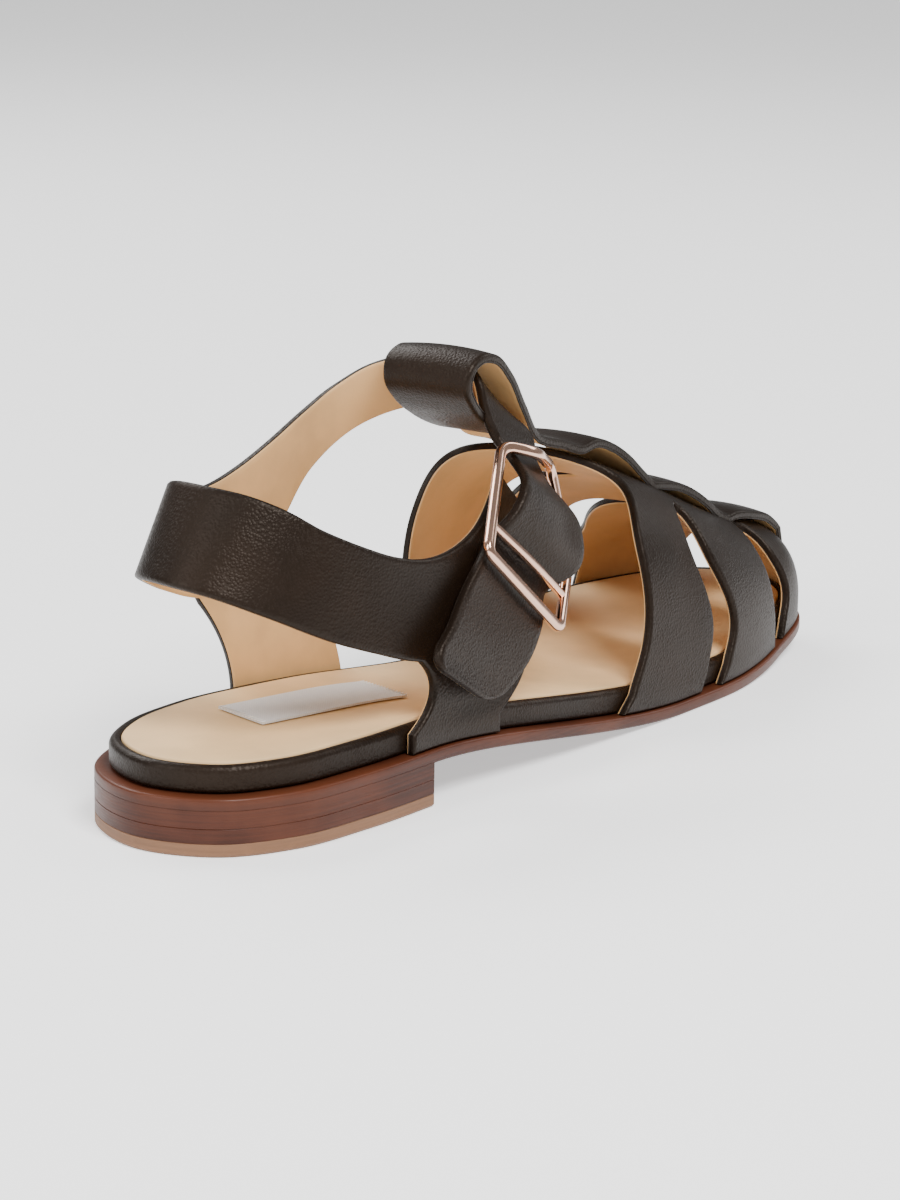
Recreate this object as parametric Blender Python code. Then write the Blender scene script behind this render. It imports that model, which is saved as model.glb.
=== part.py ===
"""A fisherman sandal for the right foot, modelled as its maker assembles it.

Metres, +X to the toe, -Y to the outer side, +Z up, the sole standing on Z = 0.
The shoe is worked out from the driving sizes below. In the tables, lengths are shares of those sizes.
"""

import bpy
import numpy as np
from math import pi

# Driving sizes of the sole
LENGTH = 0.252
BALL_WIDTH = 0.082
HEEL_LENGTH = 0.064
TOP_LIFT = 0.003
HEEL_LIFT = 0.003
HEEL_LIFTS = ("heel_lift_lower", "heel_lift_upper")
OUTSOLE = 0.003
BOARD = 0.006
INSOLE = 0.0012
TOE_SPRING = 0.0075
BALL_START = 0.66 * LENGTH
TREAD_END = 0.74 * LENGTH
LEDGE = 0.0032
INSOLE_MARGIN = 0.0024
BOARD_ROUND = 0.0016
SOLE_ROUND = 0.0006
GAP = 0.0003
STRAP_GAP = 0.0004
# Share of an edge's round at which its easing starts
EASE_SHARE = 0.3
# Cross-sections along each layer of the sole
HEEL_STATIONS = 22
OUTSOLE_STATIONS = 46
BOARD_STATIONS = 42
INSOLE_STATIONS = 36

# Driving sizes of the upper
INSTEP_HEIGHT = 0.094
WALL = 0.0022
SPINE_WIDTH = 0.023
SPINE_SEAT = 0.0011
SECTION_POWER = 2.35
OVERHANG = 0.006
OVERHANG_START = 0.50 * LENGTH
OVERHANG_END = 0.70 * LENGTH

# Driving sizes of the buckle and the label
BUCKLE_BAR = 0.0026
BUCKLE_DEPTH = 0.0022
CENTRE_BAR = 0.0022
CHAMFER_SHARE = 0.28
LABEL_LENGTH = 0.0408
LABEL_WIDTH = 0.0165
LABEL_THICKNESS = 0.0005
LABEL_PLACE = 0.237
LABEL_TURN = -0.253
LABEL_ACROSS = -0.028
LABEL_COLUMNS = 6

# The shoe's middle, which is put over the origin
MIDDLE_ACROSS = 0.0038

# Outline of the outsole, heel to toe down the outer side and back up the inner side.
# along: share of LENGTH; across: share of BALL_WIDTH
OUTLINE = (
    (0.000, -0.020), (0.027, -0.238), (0.083, -0.343), (0.167, -0.388), (0.286, -0.405),
    (0.405, -0.432), (0.540, -0.440), (0.659, -0.446), (0.766, -0.438), (0.870, -0.378),
    (0.970, -0.266), (1.000, -0.075), (0.996, 0.090), (0.976, 0.235), (0.922, 0.400),
    (0.845, 0.517), (0.742, 0.541), (0.623, 0.437), (0.506, 0.300), (0.400, 0.258),
    (0.298, 0.277), (0.171, 0.338), (0.090, 0.312), (0.037, 0.228),
)

# Crown line of the last, from the instep to the toe.
# along: share of LENGTH; across: share of BALL_WIDTH; height: share of INSTEP_HEIGHT
CROWN = (
    (0.480, -0.030, 0.750), (0.556, -0.022, 0.690), (0.600, -0.020, 0.658), (0.635, -0.020, 0.629),
    (0.683, -0.024, 0.579), (0.742, -0.032, 0.514), (0.794, -0.040, 0.455), (0.849, -0.048, 0.398),
    (0.909, -0.054, 0.352), (0.944, -0.054, 0.327), (0.968, -0.052, 0.288), (0.981, -0.050, 0.240),
)

# Places up a strap at which its edges are given: its foot, low, middle, high and the crown of the last
UP_STRAP = (0.0, 0.15, 0.45, 0.85, 1.0)
# Share of the way up at which the straps turn in from the board's side
TURN_IN = 0.06
# Edges of the cross straps: back edge, the two gaps between straps and the front edge.
# outer and inner: X at each place up the strap, and crown: X at the crown, shares of LENGTH;
# width: half width of the gap at foot, low and middle, share of LENGTH; close: where it ends, outer and inner
STRAP_EDGES = (
    dict(outer=(0.548, 0.587, 0.603, 0.632), crown=0.592, inner=(0.520, 0.527, 0.541, 0.554)),
    dict(outer=(0.706, 0.730, 0.712, 0.727), crown=0.714, inner=(0.732, 0.728, 0.708, 0.692),
         width=(0.0192, 0.0215, 0.0200), close=(0.70, 0.92)),
    dict(outer=(0.875, 0.882, 0.877, 0.864), crown=0.838, inner=(0.869, 0.866, 0.846, 0.810),
         width=(0.0135, 0.0225, 0.0215), close=(0.84, 0.90)),
    dict(outer=(0.976, 0.974, 0.970, 0.963), crown=0.962, inner=(0.972, 0.972, 0.968, 0.962)),
)
STRAP_COLUMNS = (6, 5, 5)
STRAP_ROWS = 15

# Centre strap: its lower face along the crown, toe first, then round the ankle strap as a loop.
# along: share of LENGTH; height: share of INSTEP_HEIGHT; across: share of BALL_WIDTH;
# width: share of SPINE_WIDTH; camber: drop of its edges, share of SPINE_WIDTH
SPINE = (
    dict(along=0.958, height=0.330, across=-0.054, width=1.02, camber=0.050),
    dict(along=0.939, height=0.361, across=-0.054, width=1.02, camber=0.050),
    dict(along=0.908, height=0.385, across=-0.054, width=1.02, camber=0.050),
    dict(along=0.880, height=0.396, across=-0.052, width=1.00, camber=0.050),
    dict(along=0.862, height=0.400, across=-0.050, width=0.98, camber=0.080),
    dict(along=0.843, height=0.418, across=-0.047, width=0.98, camber=0.060),
    dict(along=0.821, height=0.455, across=-0.044, width=1.00, camber=0.050),
    dict(along=0.799, height=0.488, across=-0.040, width=1.00, camber=0.045),
    dict(along=0.771, height=0.519, across=-0.036, width=0.99, camber=0.045),
    dict(along=0.743, height=0.537, across=-0.033, width=0.98, camber=0.055),
    dict(along=0.727, height=0.550, across=-0.031, width=0.96, camber=0.080),
    dict(along=0.710, height=0.578, across=-0.028, width=0.97, camber=0.060),
    dict(along=0.678, height=0.636, across=-0.024, width=1.00, camber=0.040),
    dict(along=0.652, height=0.672, across=-0.021, width=1.00, camber=0.035),
    dict(along=0.626, height=0.693, across=-0.020, width=1.00, camber=0.035),
    dict(along=0.604, height=0.692, across=-0.022, width=0.98, camber=0.060),
    dict(along=0.565, height=0.713, across=-0.026, width=0.96, camber=0.030),
    dict(along=0.520, height=0.752, across=-0.032, width=0.96, camber=0.040),
    dict(along=0.480, height=0.853, across=-0.052, width=1.00, camber=0.050),
    dict(along=0.447, height=0.944, across=-0.068, width=1.04, camber=0.050),
    dict(along=0.420, height=0.991, across=-0.076, width=1.06, camber=0.040),
    dict(along=0.401, height=0.995, across=-0.078, width=1.06, camber=0.030),
    dict(along=0.388, height=0.973, across=-0.078, width=1.06, camber=0.020),
    dict(along=0.386, height=0.940, across=-0.077, width=1.04, camber=0.010),
    dict(along=0.398, height=0.896, across=-0.074, width=1.00, camber=0.000),
    dict(along=0.423, height=0.852, across=-0.066, width=0.94, camber=0.000),
    dict(along=0.456, height=0.814, across=-0.056, width=0.90, camber=0.000),
    dict(along=0.486, height=0.796, across=-0.042, width=0.86, camber=0.000),
    dict(along=0.506, height=0.805, across=-0.038, width=0.84, camber=0.000),
)
SPINE_STEPS = 3
SPINE_COLUMNS = 6
TOE_ROWS = 7
# Points of the last's outline that count as its nose, on each side
NOSE_POINTS = 120

# The band: outer arm, round the heel, up the inner arm, through the loop, and down through the buckle
# to the free end. A row for each section, with its low (front) and top (rear) edge on the inner face.
# x: share of LENGTH; y: share of BALL_WIDTH; z: share of INSTEP_HEIGHT
BAND = (
    ("outer arm end", (0.454, -0.220, 0.622), (0.428, -0.202, 0.704)),
    ("outer arm", (0.432, -0.284, 0.500), (0.404, -0.238, 0.666)),
    ("outer leg front", (0.399, -0.342, 0.366), (0.358, -0.286, 0.612)),
    ("outer leg, front third", (0.352, -0.364, 0.352), (0.312, -0.316, 0.588)),
    ("outer leg, back third", (0.298, -0.364, 0.344), (0.270, -0.320, 0.583)),
    ("outer leg back", (0.246, -0.354, 0.352), (0.226, -0.312, 0.607)),
    ("outer heel", (0.196, -0.328, 0.394), (0.184, -0.288, 0.652)),
    ("outer heel bend", (0.145, -0.280, 0.447), (0.151, -0.250, 0.698)),
    ("outer heel corner", (0.098, -0.205, 0.512), (0.128, -0.188, 0.746)),
    ("outer heel back", (0.067, -0.108, 0.558), (0.113, -0.106, 0.773)),
    ("heel back", (0.056, 0.000, 0.575), (0.106, 0.000, 0.783)),
    ("inner heel back", (0.066, 0.112, 0.572), (0.111, 0.104, 0.782)),
    ("inner heel corner", (0.100, 0.214, 0.542), (0.134, 0.188, 0.756)),
    ("inner heel bend", (0.152, 0.276, 0.485), (0.162, 0.240, 0.726)),
    ("inner leg back", (0.208, 0.298, 0.436), (0.214, 0.268, 0.714)),
    ("inner leg, back third", (0.247, 0.306, 0.430), (0.256, 0.274, 0.738)),
    ("inner leg, front third", (0.285, 0.306, 0.466), (0.300, 0.268, 0.785)),
    ("inner leg front", (0.322, 0.298, 0.560), (0.345, 0.250, 0.850)),
    ("inner arm", (0.360, 0.274, 0.695), (0.377, 0.212, 0.908)),
    ("inner arm top", (0.400, 0.214, 0.786), (0.398, 0.148, 0.952)),
    ("under the loop, inner", (0.434, 0.108, 0.836), (0.410, 0.052, 0.974)),
    ("under the loop", (0.450, -0.010, 0.846), (0.415, -0.050, 0.974)),
    ("under the loop, outer", (0.463, -0.126, 0.826), (0.413, -0.152, 0.946)),
    ("below the loop", (0.489, -0.190, 0.762), (0.414, -0.186, 0.862)),
    ("under the top bar", (0.490, -0.204, 0.703), (0.421, -0.212, 0.795)),
    ("bulge, upper", (0.488, -0.252, 0.646), (0.420, -0.276, 0.746)),
    ("bulge", (0.496, -0.345, 0.548), (0.400, -0.356, 0.706)),
    ("bulge, lower", (0.484, -0.372, 0.468), (0.380, -0.366, 0.654)),
    ("over the centre bar", (0.468, -0.348, 0.440), (0.369, -0.349, 0.623)),
    ("under the centre bar", (0.452, -0.332, 0.421), (0.361, -0.335, 0.599)),
    ("under the end bar", (0.412, -0.394, 0.351), (0.328, -0.368, 0.563)),
    ("free end, upper", (0.385, -0.412, 0.288), (0.290, -0.392, 0.489)),
    ("free end, middle", (0.350, -0.426, 0.246), (0.256, -0.418, 0.428)),
    ("free end tip", (0.317, -0.434, 0.216), (0.224, -0.430, 0.372)),
)
BAND_STEPS = 3
BAND_COLUMNS = 4
LEG_ROWS = 5
# Where the curve of a leg is pulled to: shares of the way from its foot to the band, along, across and up
LEG_KNEE = np.array([0.50, 0.0, 0.50])
# Legs: first and last row of the band that the leg carries, and the place of its foot along the board's side
LEGS = (
    dict(side="outer", rows=(2, 5), feet=(0.363, 0.250), bow=0.044),
    dict(side="inner", rows=(14, 17), feet=(0.254, 0.378), bow=0.016),
)

# Buckle frame on the middle of its bar, round from the rear top corner. A row for each bend.
# x: share of LENGTH; y: share of BALL_WIDTH; z: share of INSTEP_HEIGHT; ease: rounding of the bend, metres
FRAME = (
    dict(bend="rear top corner", x=0.408, y=-0.276, z=0.792, ease=0.0032),
    dict(bend="arch of the top bar", x=0.443, y=-0.322, z=0.766, ease=0.0050),
    dict(bend="front top corner", x=0.500, y=-0.250, z=0.702, ease=0.0032),
    dict(bend="bend of the front side", x=0.508, y=-0.306, z=0.466, ease=0.0080),
    dict(bend="front end corner", x=0.428, y=-0.442, z=0.346, ease=0.0026),
    dict(bend="rear end corner", x=0.324, y=-0.416, z=0.586, ease=0.0026),
)
# The centre bar runs from the rear side to the front side, each a share of the way up from the end bar
BAR_SHARES = (0.26, 0.45)


def hermite(knots, values, at):
    """Smooth curve through values at increasing knots, read at the given places."""
    knots = np.asarray(knots, float)
    values = np.asarray(values, float)
    at = np.clip(at, knots[0], knots[-1])
    step = np.diff(knots)
    slope = (np.diff(values, axis=0).T / step).T
    tangent = np.empty_like(values)
    tangent[0] = slope[0]
    tangent[-1] = slope[-1]
    for i in range(1, len(knots) - 1):
        before = step[i - 1]
        after = step[i]
        tangent[i] = (slope[i - 1] * after + slope[i] * before) / (before + after)
    i = np.clip(np.searchsorted(knots, at, side="right") - 1, 0, len(step) - 1)
    h = step[i]
    t = (at - knots[i]) / h
    if values.ndim > 1:
        h = h[:, None]
        t = t[:, None]
    first = (2 * t**3 - 3 * t**2 + 1) * values[i] + (t**3 - 2 * t**2 + t) * h * tangent[i]
    second = (3 * t**2 - 2 * t**3) * values[i + 1] + (t**3 - t**2) * h * tangent[i + 1]
    return first + second


def chord_lengths(points):
    """Distance along a list of points, from its first point."""
    steps = np.linalg.norm(np.diff(points, axis=0), axis=1)
    return np.concatenate([[0.0], np.cumsum(steps)])


def closed_curve(points, count):
    """Smooth closed curve through the points, as count points."""
    points = np.asarray(points, float)
    wrap = 3
    looped = np.vstack([points[-wrap:], points, points[:wrap + 1]])
    knots = chord_lengths(looped)
    start = knots[wrap]
    end = knots[wrap + len(points)]
    return hermite(knots, looped, np.linspace(start, end, count, endpoint=False))


def path_through(points, steps):
    """Smooth open curve through the points, with steps intervals between each two."""
    points = np.asarray(points, float)
    knots = chord_lengths(points)
    index = np.arange((len(points) - 1) * steps + 1) / steps
    return hermite(knots, points, np.interp(index, np.arange(len(points)), knots))


def smoothstep(t):
    """Ease from 0 to 1."""
    t = np.clip(t, 0.0, 1.0)
    return t * t * (3 - 2 * t)


SEAT_HEIGHT = TOP_LIFT + len(HEEL_LIFTS) * HEEL_LIFT + (len(HEEL_LIFTS) + 1) * GAP


def underside(x):
    """Height of the outsole's lower face: heel seat, arch, tread on the floor, toe spring."""
    arch = SEAT_HEIGHT * (1 - smoothstep((x - HEEL_LENGTH) / (BALL_START - HEEL_LENGTH)))
    toe = np.clip((x - TREAD_END) / (LENGTH - TREAD_END), 0.0, 1.0)
    return arch + TOE_SPRING * toe**2


def outsole_top(x):
    return underside(x) + OUTSOLE


SMOOTH_OUTLINE = closed_curve(np.array(OUTLINE) * (LENGTH, BALL_WIDTH), 720)


def outline(inset):
    """The sole's outline drawn in by inset, as outer and inner side, each from heel to toe."""
    loop = SMOOTH_OUTLINE
    along = np.roll(loop, -1, axis=0) - np.roll(loop, 1, axis=0)
    along /= np.linalg.norm(along, axis=1)[:, None]
    inward = np.column_stack([-along[:, 1], along[:, 0]])
    loop = loop + inward * inset
    heel = np.argmin(loop[:, 0])
    loop = np.roll(loop, -heel, axis=0)
    toe = np.argmax(loop[:, 0])
    outer = loop[:toe + 1]
    inner = np.vstack([loop[toe:], loop[:1]])[::-1]
    return outer, inner


def side_at(side, x):
    """Distance across at x, on one side of an outline."""
    order = np.argsort(side[:, 0])
    return np.interp(x, side[order, 0], side[order, 1])


def along_side(side, share):
    """Point on one side of an outline at a share of its length, heel 0 to toe 1."""
    lengths = chord_lengths(side)
    place = np.asarray(share) * lengths[-1]
    return np.column_stack([np.interp(place, lengths, side[:, 0]), np.interp(place, lengths, side[:, 1])])


def material(name, colour, roughness, metallic=0.0):
    """A plain finish in the piece's own colour."""
    finish = bpy.data.materials.new(name)
    finish.use_nodes = True
    shader = finish.node_tree.nodes["Principled BSDF"]
    shader.inputs["Base Color"].default_value = (*colour, 1.0)
    shader.inputs["Roughness"].default_value = roughness
    shader.inputs["Metallic"].default_value = metallic
    return finish


def add_object(name, vertices, faces, finish):
    """Add a mesh object, with the shoe's middle placed over the origin."""
    placed = np.asarray(vertices, float) - (LENGTH / 2, MIDDLE_ACROSS, 0.0)
    mesh = bpy.data.meshes.new(name)
    mesh.from_pydata(placed.tolist(), [], [list(face) for face in faces])
    mesh.update()
    mesh.shade_smooth()
    mesh.set_sharp_from_angle(angle=pi / 5)
    item = bpy.data.objects.new(name, mesh)
    item.data.materials.append(finish)
    bpy.context.scene.collection.objects.link(item)
    return item


def stations(start, end, count):
    """Places along the shoe, closer together at both ends."""
    turn = np.linspace(0.0, pi, count)
    return start + (end - start) * (1 - np.cos(turn)) / 2


def ring_at(inset, height, count, reach=None):
    """One closed ring of the outline: down the outer side and back up the inner side.

    height gives Z from X. reach cuts the ring off square at that X.
    """
    outer, inner = outline(inset)
    end = outer[-1, 0] if reach is None else reach
    if reach is None:
        x = stations(outer[0, 0], end, count)
    else:
        turn = np.linspace(0.0, pi / 2, count)
        x = outer[0, 0] + (end - outer[0, 0]) * (1 - np.cos(turn))
    far = np.column_stack([x, side_at(outer, x)])
    near = np.column_stack([x, side_at(inner, x)])
    tail = 1 if reach is None else 0
    ring = np.vstack([far, near[::-1][tail:len(near) - 1]])
    return np.column_stack([ring, height(ring[:, 0])])


def stacked_rings(rings, count):
    """Closed solid from rings, lowest first, with caps made of strips across the shoe."""
    vertices = np.vstack(rings)
    size = len(rings[0])
    faces = []
    for level in range(len(rings) - 1):
        low = level * size
        for i in range(size):
            j = (i + 1) % size
            faces.append((low + i, low + j, low + size + j, low + size + i))
    top = (len(rings) - 1) * size
    for i in range(count - 1):
        strip = [i, i + 1, (size - i - 1) % size, (size - i) % size]
        strip = [place for n, place in enumerate(strip) if place not in strip[:n]]
        faces.append(tuple(top + place for place in strip))
        faces.append(tuple(strip[::-1]))
    return vertices, faces


def sole_piece(name, levels, count, finish, reach=None):
    """A layer of the sole. Each level is a drawn-in distance and a function that gives Z from X."""
    rings = [ring_at(inset, height, count, reach) for inset, height in levels]
    vertices, faces = stacked_rings(rings, count)
    return add_object(name, vertices, faces, finish)


def raised(base, rise):
    """Height function that lies a given rise over another one."""
    return lambda x: base(x) + rise


def flat(height):
    """Height function of a level plane."""
    return lambda x: np.full(len(x), height)


def build_heel(leather, tread):
    """Top lift on the floor and the leather lifts over it, all cut square at the breast."""
    sole_piece("heel_top_lift", ((SOLE_ROUND, flat(0.0)), (0.0, flat(SOLE_ROUND)), (0.0, flat(TOP_LIFT))),
               HEEL_STATIONS, tread, HEEL_LENGTH)
    floor = TOP_LIFT + GAP
    for name in HEEL_LIFTS:
        sole_piece(name, ((0.0, flat(floor)), (0.0, flat(floor + HEEL_LIFT))), HEEL_STATIONS, leather, HEEL_LENGTH)
        floor += HEEL_LIFT + GAP


def build_outsole(leather):
    """Outsole with its edges eased, following the arch and the toe spring."""
    levels = (
        (SOLE_ROUND, underside),
        (0.0, raised(underside, SOLE_ROUND)),
        (0.0, raised(outsole_top, -SOLE_ROUND)),
        (SOLE_ROUND, outsole_top),
    )
    sole_piece("outsole", levels, OUTSOLE_STATIONS, leather)


def board_top(x):
    return outsole_top(x) + GAP + BOARD


def build_board(leather):
    """Wrapped board with a rounded edge, sunk where the insole lies."""
    base = raised(outsole_top, GAP)
    ease = BOARD_ROUND * EASE_SHARE
    recess = LEDGE + INSOLE_MARGIN
    levels = (
        (LEDGE + BOARD_ROUND, base),
        (LEDGE + ease, raised(base, ease)),
        (LEDGE, raised(base, BOARD_ROUND)),
        (LEDGE, raised(board_top, -BOARD_ROUND)),
        (LEDGE + ease, raised(board_top, -ease)),
        (LEDGE + BOARD_ROUND, board_top),
        (recess, raised(board_top, -ease)),
        (recess, raised(board_top, -INSOLE)),
    )
    sole_piece("footbed_board", levels, BOARD_STATIONS, leather)


def insole_top(x):
    return board_top(x) + GAP


def build_insole(lining):
    """Insole sock, lying in the board."""
    side = LEDGE + INSOLE_MARGIN + GAP
    levels = (
        (side, raised(insole_top, -INSOLE)),
        (side, raised(insole_top, -INSOLE / 3)),
        (side + INSOLE / 3, insole_top),
    )
    sole_piece("insole", levels, INSOLE_STATIONS, lining)


def build_label(cloth):
    """Blank woven label at the heel end of the insole."""
    middle = np.array([LABEL_PLACE * LENGTH, LABEL_ACROSS * BALL_WIDTH])
    run = np.array([np.cos(LABEL_TURN), np.sin(LABEL_TURN)])
    cross = np.array([-run[1], run[0]])
    vertices = []
    for rise in (GAP, GAP + LABEL_THICKNESS):
        for share in np.linspace(-0.5, 0.5, LABEL_COLUMNS):
            for half in (-0.5, 0.5):
                point = middle + run * share * LABEL_LENGTH + cross * half * LABEL_WIDTH
                vertices.append((*point, insole_top(point[0]) + rise))
    size = LABEL_COLUMNS * 2
    faces = []
    for i in range(0, size - 2, 2):
        faces.append((i, i + 1, i + 3, i + 2))
        faces.append((size + i, size + i + 2, size + i + 3, size + i + 1))
        faces.append((i, i + 2, size + i + 2, size + i))
        faces.append((i + 1, size + i + 1, size + i + 3, i + 3))
    faces.append((0, size, size + 1, 1))
    faces.append((size - 2, size - 1, 2 * size - 1, 2 * size - 2))
    add_object("insole_label", vertices, faces, cloth)


CROWN_ROWS = np.array(CROWN) * (LENGTH, BALL_WIDTH, INSTEP_HEIGHT)
LAST_SIDES = outline(LEDGE - STRAP_GAP)
TIP = LAST_SIDES[0][-1]


def foot_height(x):
    """Height where the straps end, just over the outsole."""
    return outsole_top(x) + GAP


def turn_in(x):
    """Height up to which the straps stand upright against the board's side."""
    return board_top(x) - BOARD_ROUND


CROWN_KNOTS = np.append(CROWN_ROWS[:, 0], TIP[0])
CROWN_ACROSS = np.append(CROWN_ROWS[:, 1], CROWN_ROWS[-1, 1])
CROWN_HEIGHT = np.append(CROWN_ROWS[:, 2], turn_in(TIP[0]))


def crown_height(x):
    return hermite(CROWN_KNOTS, CROWN_HEIGHT, np.atleast_1d(x))


def crown_across(x):
    return hermite(CROWN_KNOTS, CROWN_ACROSS, np.atleast_1d(x))


def overhang(x, side):
    """How far the last stands out over the waist of the sole, on its inner side."""
    if side == 0:
        return np.zeros(len(x))
    return OVERHANG * (1 - smoothstep((x - OVERHANG_START) / (OVERHANG_END - OVERHANG_START)))


def last_at(x, turn, side):
    """Point on the last at X. turn runs from 0 at the foot to 1 at the crown; side is 0 outer, 1 inner."""
    x = np.atleast_1d(x)
    angle = np.asarray(turn) * pi / 2
    power = 2 / SECTION_POWER
    across = crown_across(x)
    edge = side_at(LAST_SIDES[side], x)
    base = turn_in(x)
    y = across + (edge - across) * np.abs(np.cos(angle)) ** power + overhang(x, side) * np.sin(2 * angle)
    z = base + (crown_height(x) - base) * np.abs(np.sin(angle)) ** power
    return np.column_stack([x, y, z])


def last_over(x, y):
    """Height of the last over the points (x, y), and 0 to 1 for how far out they lie."""
    across = crown_across(x)
    edge = np.where(y < across, side_at(LAST_SIDES[0], x), side_at(LAST_SIDES[1], x))
    out = np.clip(np.abs((y - across) / (edge - across)), 0.0, 1.0)
    base = turn_in(x)
    rise = (1 - out**SECTION_POWER) ** (1 / SECTION_POWER)
    return base + (crown_height(x) - base) * rise


class Sheet:
    """A surface of four-sided cells with shared corners, made thick at the end."""

    def __init__(self):
        self.points = []
        self.places = {}
        self.cells = []

    def corner(self, point):
        key = tuple(int(round(value * 1e7)) for value in point)
        if key not in self.places:
            self.places[key] = len(self.points)
            self.points.append(np.array(point, float))
        return self.places[key]

    def add_grid(self, grid):
        """Add a grid of points. Its first direction crossed with its second points outwards."""
        rows = [[self.corner(point) for point in row] for row in grid]
        for low, high in zip(rows, rows[1:]):
            for i in range(len(low) - 1):
                cell = [low[i], high[i], high[i + 1], low[i + 1]]
                cell = [c for n, c in enumerate(cell) if c not in cell[:n]]
                if len(cell) > 2:
                    self.cells.append(tuple(cell))

    def thickened(self, wall):
        """Vertices and faces of the sheet with a wall laid on its outer side, clear of the outsole."""
        points = np.array(self.points)
        normals = np.zeros_like(points)
        for cell in self.cells:
            corners = points[list(cell)]
            normal = np.cross(corners[2] - corners[0], corners[-1] - corners[1])
            for place in cell:
                normals[place] += normal
        normals /= np.linalg.norm(normals, axis=1)[:, None]
        count = len(points)
        edges = {}
        for cell in self.cells:
            for a, b in zip(cell, cell[1:] + cell[:1]):
                edges[(a, b)] = edges.get((a, b), 0) + 1
        faces = [tuple(cell[::-1]) for cell in self.cells]
        faces += [tuple(place + count for place in cell) for cell in self.cells]
        for a, b in edges:
            if (b, a) not in edges:
                faces.append((a, b, b + count, a + count))
        outside = points + normals * wall
        outside[:, 2] = np.maximum(outside[:, 2], foot_height(outside[:, 0]))
        return np.vstack([points, outside]), faces


def strap_edge(edge, side, up, sign):
    """X of one edge of a strap or gap on the given side, at each share of the way up to the crown."""
    places = (*edge["outer" if side == 0 else "inner"], edge["crown"])
    line = hermite(UP_STRAP, np.array(places) * LENGTH, up)
    if "width" not in edge:
        return line
    widths = (*edge["width"], edge["width"][-1], edge["width"][-1])
    half = hermite(UP_STRAP, np.array(widths) * LENGTH, up)
    open_share = np.clip(1 - (up / edge["close"][side]) ** 4, 0.0, 1.0)
    return line + sign * half * np.sqrt(open_share)


def cross_straps():
    """The three cross straps, joined under the spine, as one sheet on the last."""
    sheet = Sheet()
    turn = 1 - (1 - np.linspace(0.0, 1.0, STRAP_ROWS)) ** 1.1
    up = np.append(0.0, TURN_IN + (1 - TURN_IN) * turn)
    for number, columns in enumerate(STRAP_COLUMNS):
        back = STRAP_EDGES[number]
        front = STRAP_EDGES[number + 1]
        edges = [(strap_edge(back, side, up, 1), strap_edge(front, side, up, -1)) for side in (0, 1)]
        grid = []
        for share in np.linspace(0.0, 1.0, columns + 1):
            column = []
            for side, (start, end) in enumerate(edges):
                x = start + (end - start) * share
                foot = last_at(x[0], 0.0, side)
                foot[:, 2] = foot_height(x[0])
                points = np.vstack([foot, last_at(x[1:], turn, side)])
                column.append(points if side == 0 else points[::-1][1:])
            grid.append(np.vstack(column))
        sheet.add_grid(grid)
    return sheet.thickened(WALL)


def toe_rows():
    """Rows of the spine over the toe, from the foot of its tip back to the first row of its table."""
    half = SPINE_WIDTH / 2 * SPINE[0]["width"]
    middle = SPINE[0]["across"] * BALL_WIDTH
    back = SPINE[0]["along"] * LENGTH
    offsets = np.linspace(half, -half, SPINE_COLUMNS + 1)
    y = middle + offsets
    tip_y = np.concatenate([LAST_SIDES[0][::-1][:NOSE_POINTS, 1][::-1], LAST_SIDES[1][::-1][1:NOSE_POINTS, 1]])
    tip_x = np.concatenate([LAST_SIDES[0][::-1][:NOSE_POINTS, 0][::-1], LAST_SIDES[1][::-1][1:NOSE_POINTS, 0]])
    nose = np.interp(y, tip_y, tip_x)
    rows = [np.column_stack([nose, y, foot_height(nose)])]
    for step in range(TOE_ROWS):
        turn = step / TOE_ROWS
        x = back + (nose - back) * np.sqrt(1 - turn**2)
        lift = SPINE_SEAT * turn
        z = last_over(x, y) + lift
        rows.append(np.column_stack([x, y, z]))
    return rows


def spine():
    """The centre strap, from the toe tip over the cross straps and round its loop."""
    table = np.array([[row["along"] * LENGTH, row["across"] * BALL_WIDTH, row["height"] * INSTEP_HEIGHT,
                       row["width"] * SPINE_WIDTH / 2, row["camber"] * SPINE_WIDTH] for row in SPINE])
    knots = chord_lengths(table[:, :3])
    index = np.arange((len(table) - 1) * SPINE_STEPS + 1) / SPINE_STEPS
    smooth = hermite(knots, table, np.interp(index, np.arange(len(table)), knots))
    grid = toe_rows()
    for x, y, z, half, drop in smooth:
        offsets = np.linspace(1.0, -1.0, SPINE_COLUMNS + 1)
        grid.append(np.column_stack([np.full(len(offsets), x), y + offsets * half, z - drop * offsets**2]))
    sheet = Sheet()
    sheet.add_grid(grid)
    return sheet.thickened(WALL)


def band_edges():
    """Low and top edge of the band at every section, smooth along the band."""
    sizes = (LENGTH, BALL_WIDTH, INSTEP_HEIGHT)
    low = np.array([row[1] for row in BAND]) * sizes
    top = np.array([row[2] for row in BAND]) * sizes
    both = np.hstack([low, top])
    knots = chord_lengths((low + top) / 2)
    index = np.arange((len(BAND) - 1) * BAND_STEPS + 1) / BAND_STEPS
    smooth = hermite(knots, both, np.interp(index, np.arange(len(BAND)), knots))
    return smooth[:, :3], smooth[:, 3:]


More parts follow.
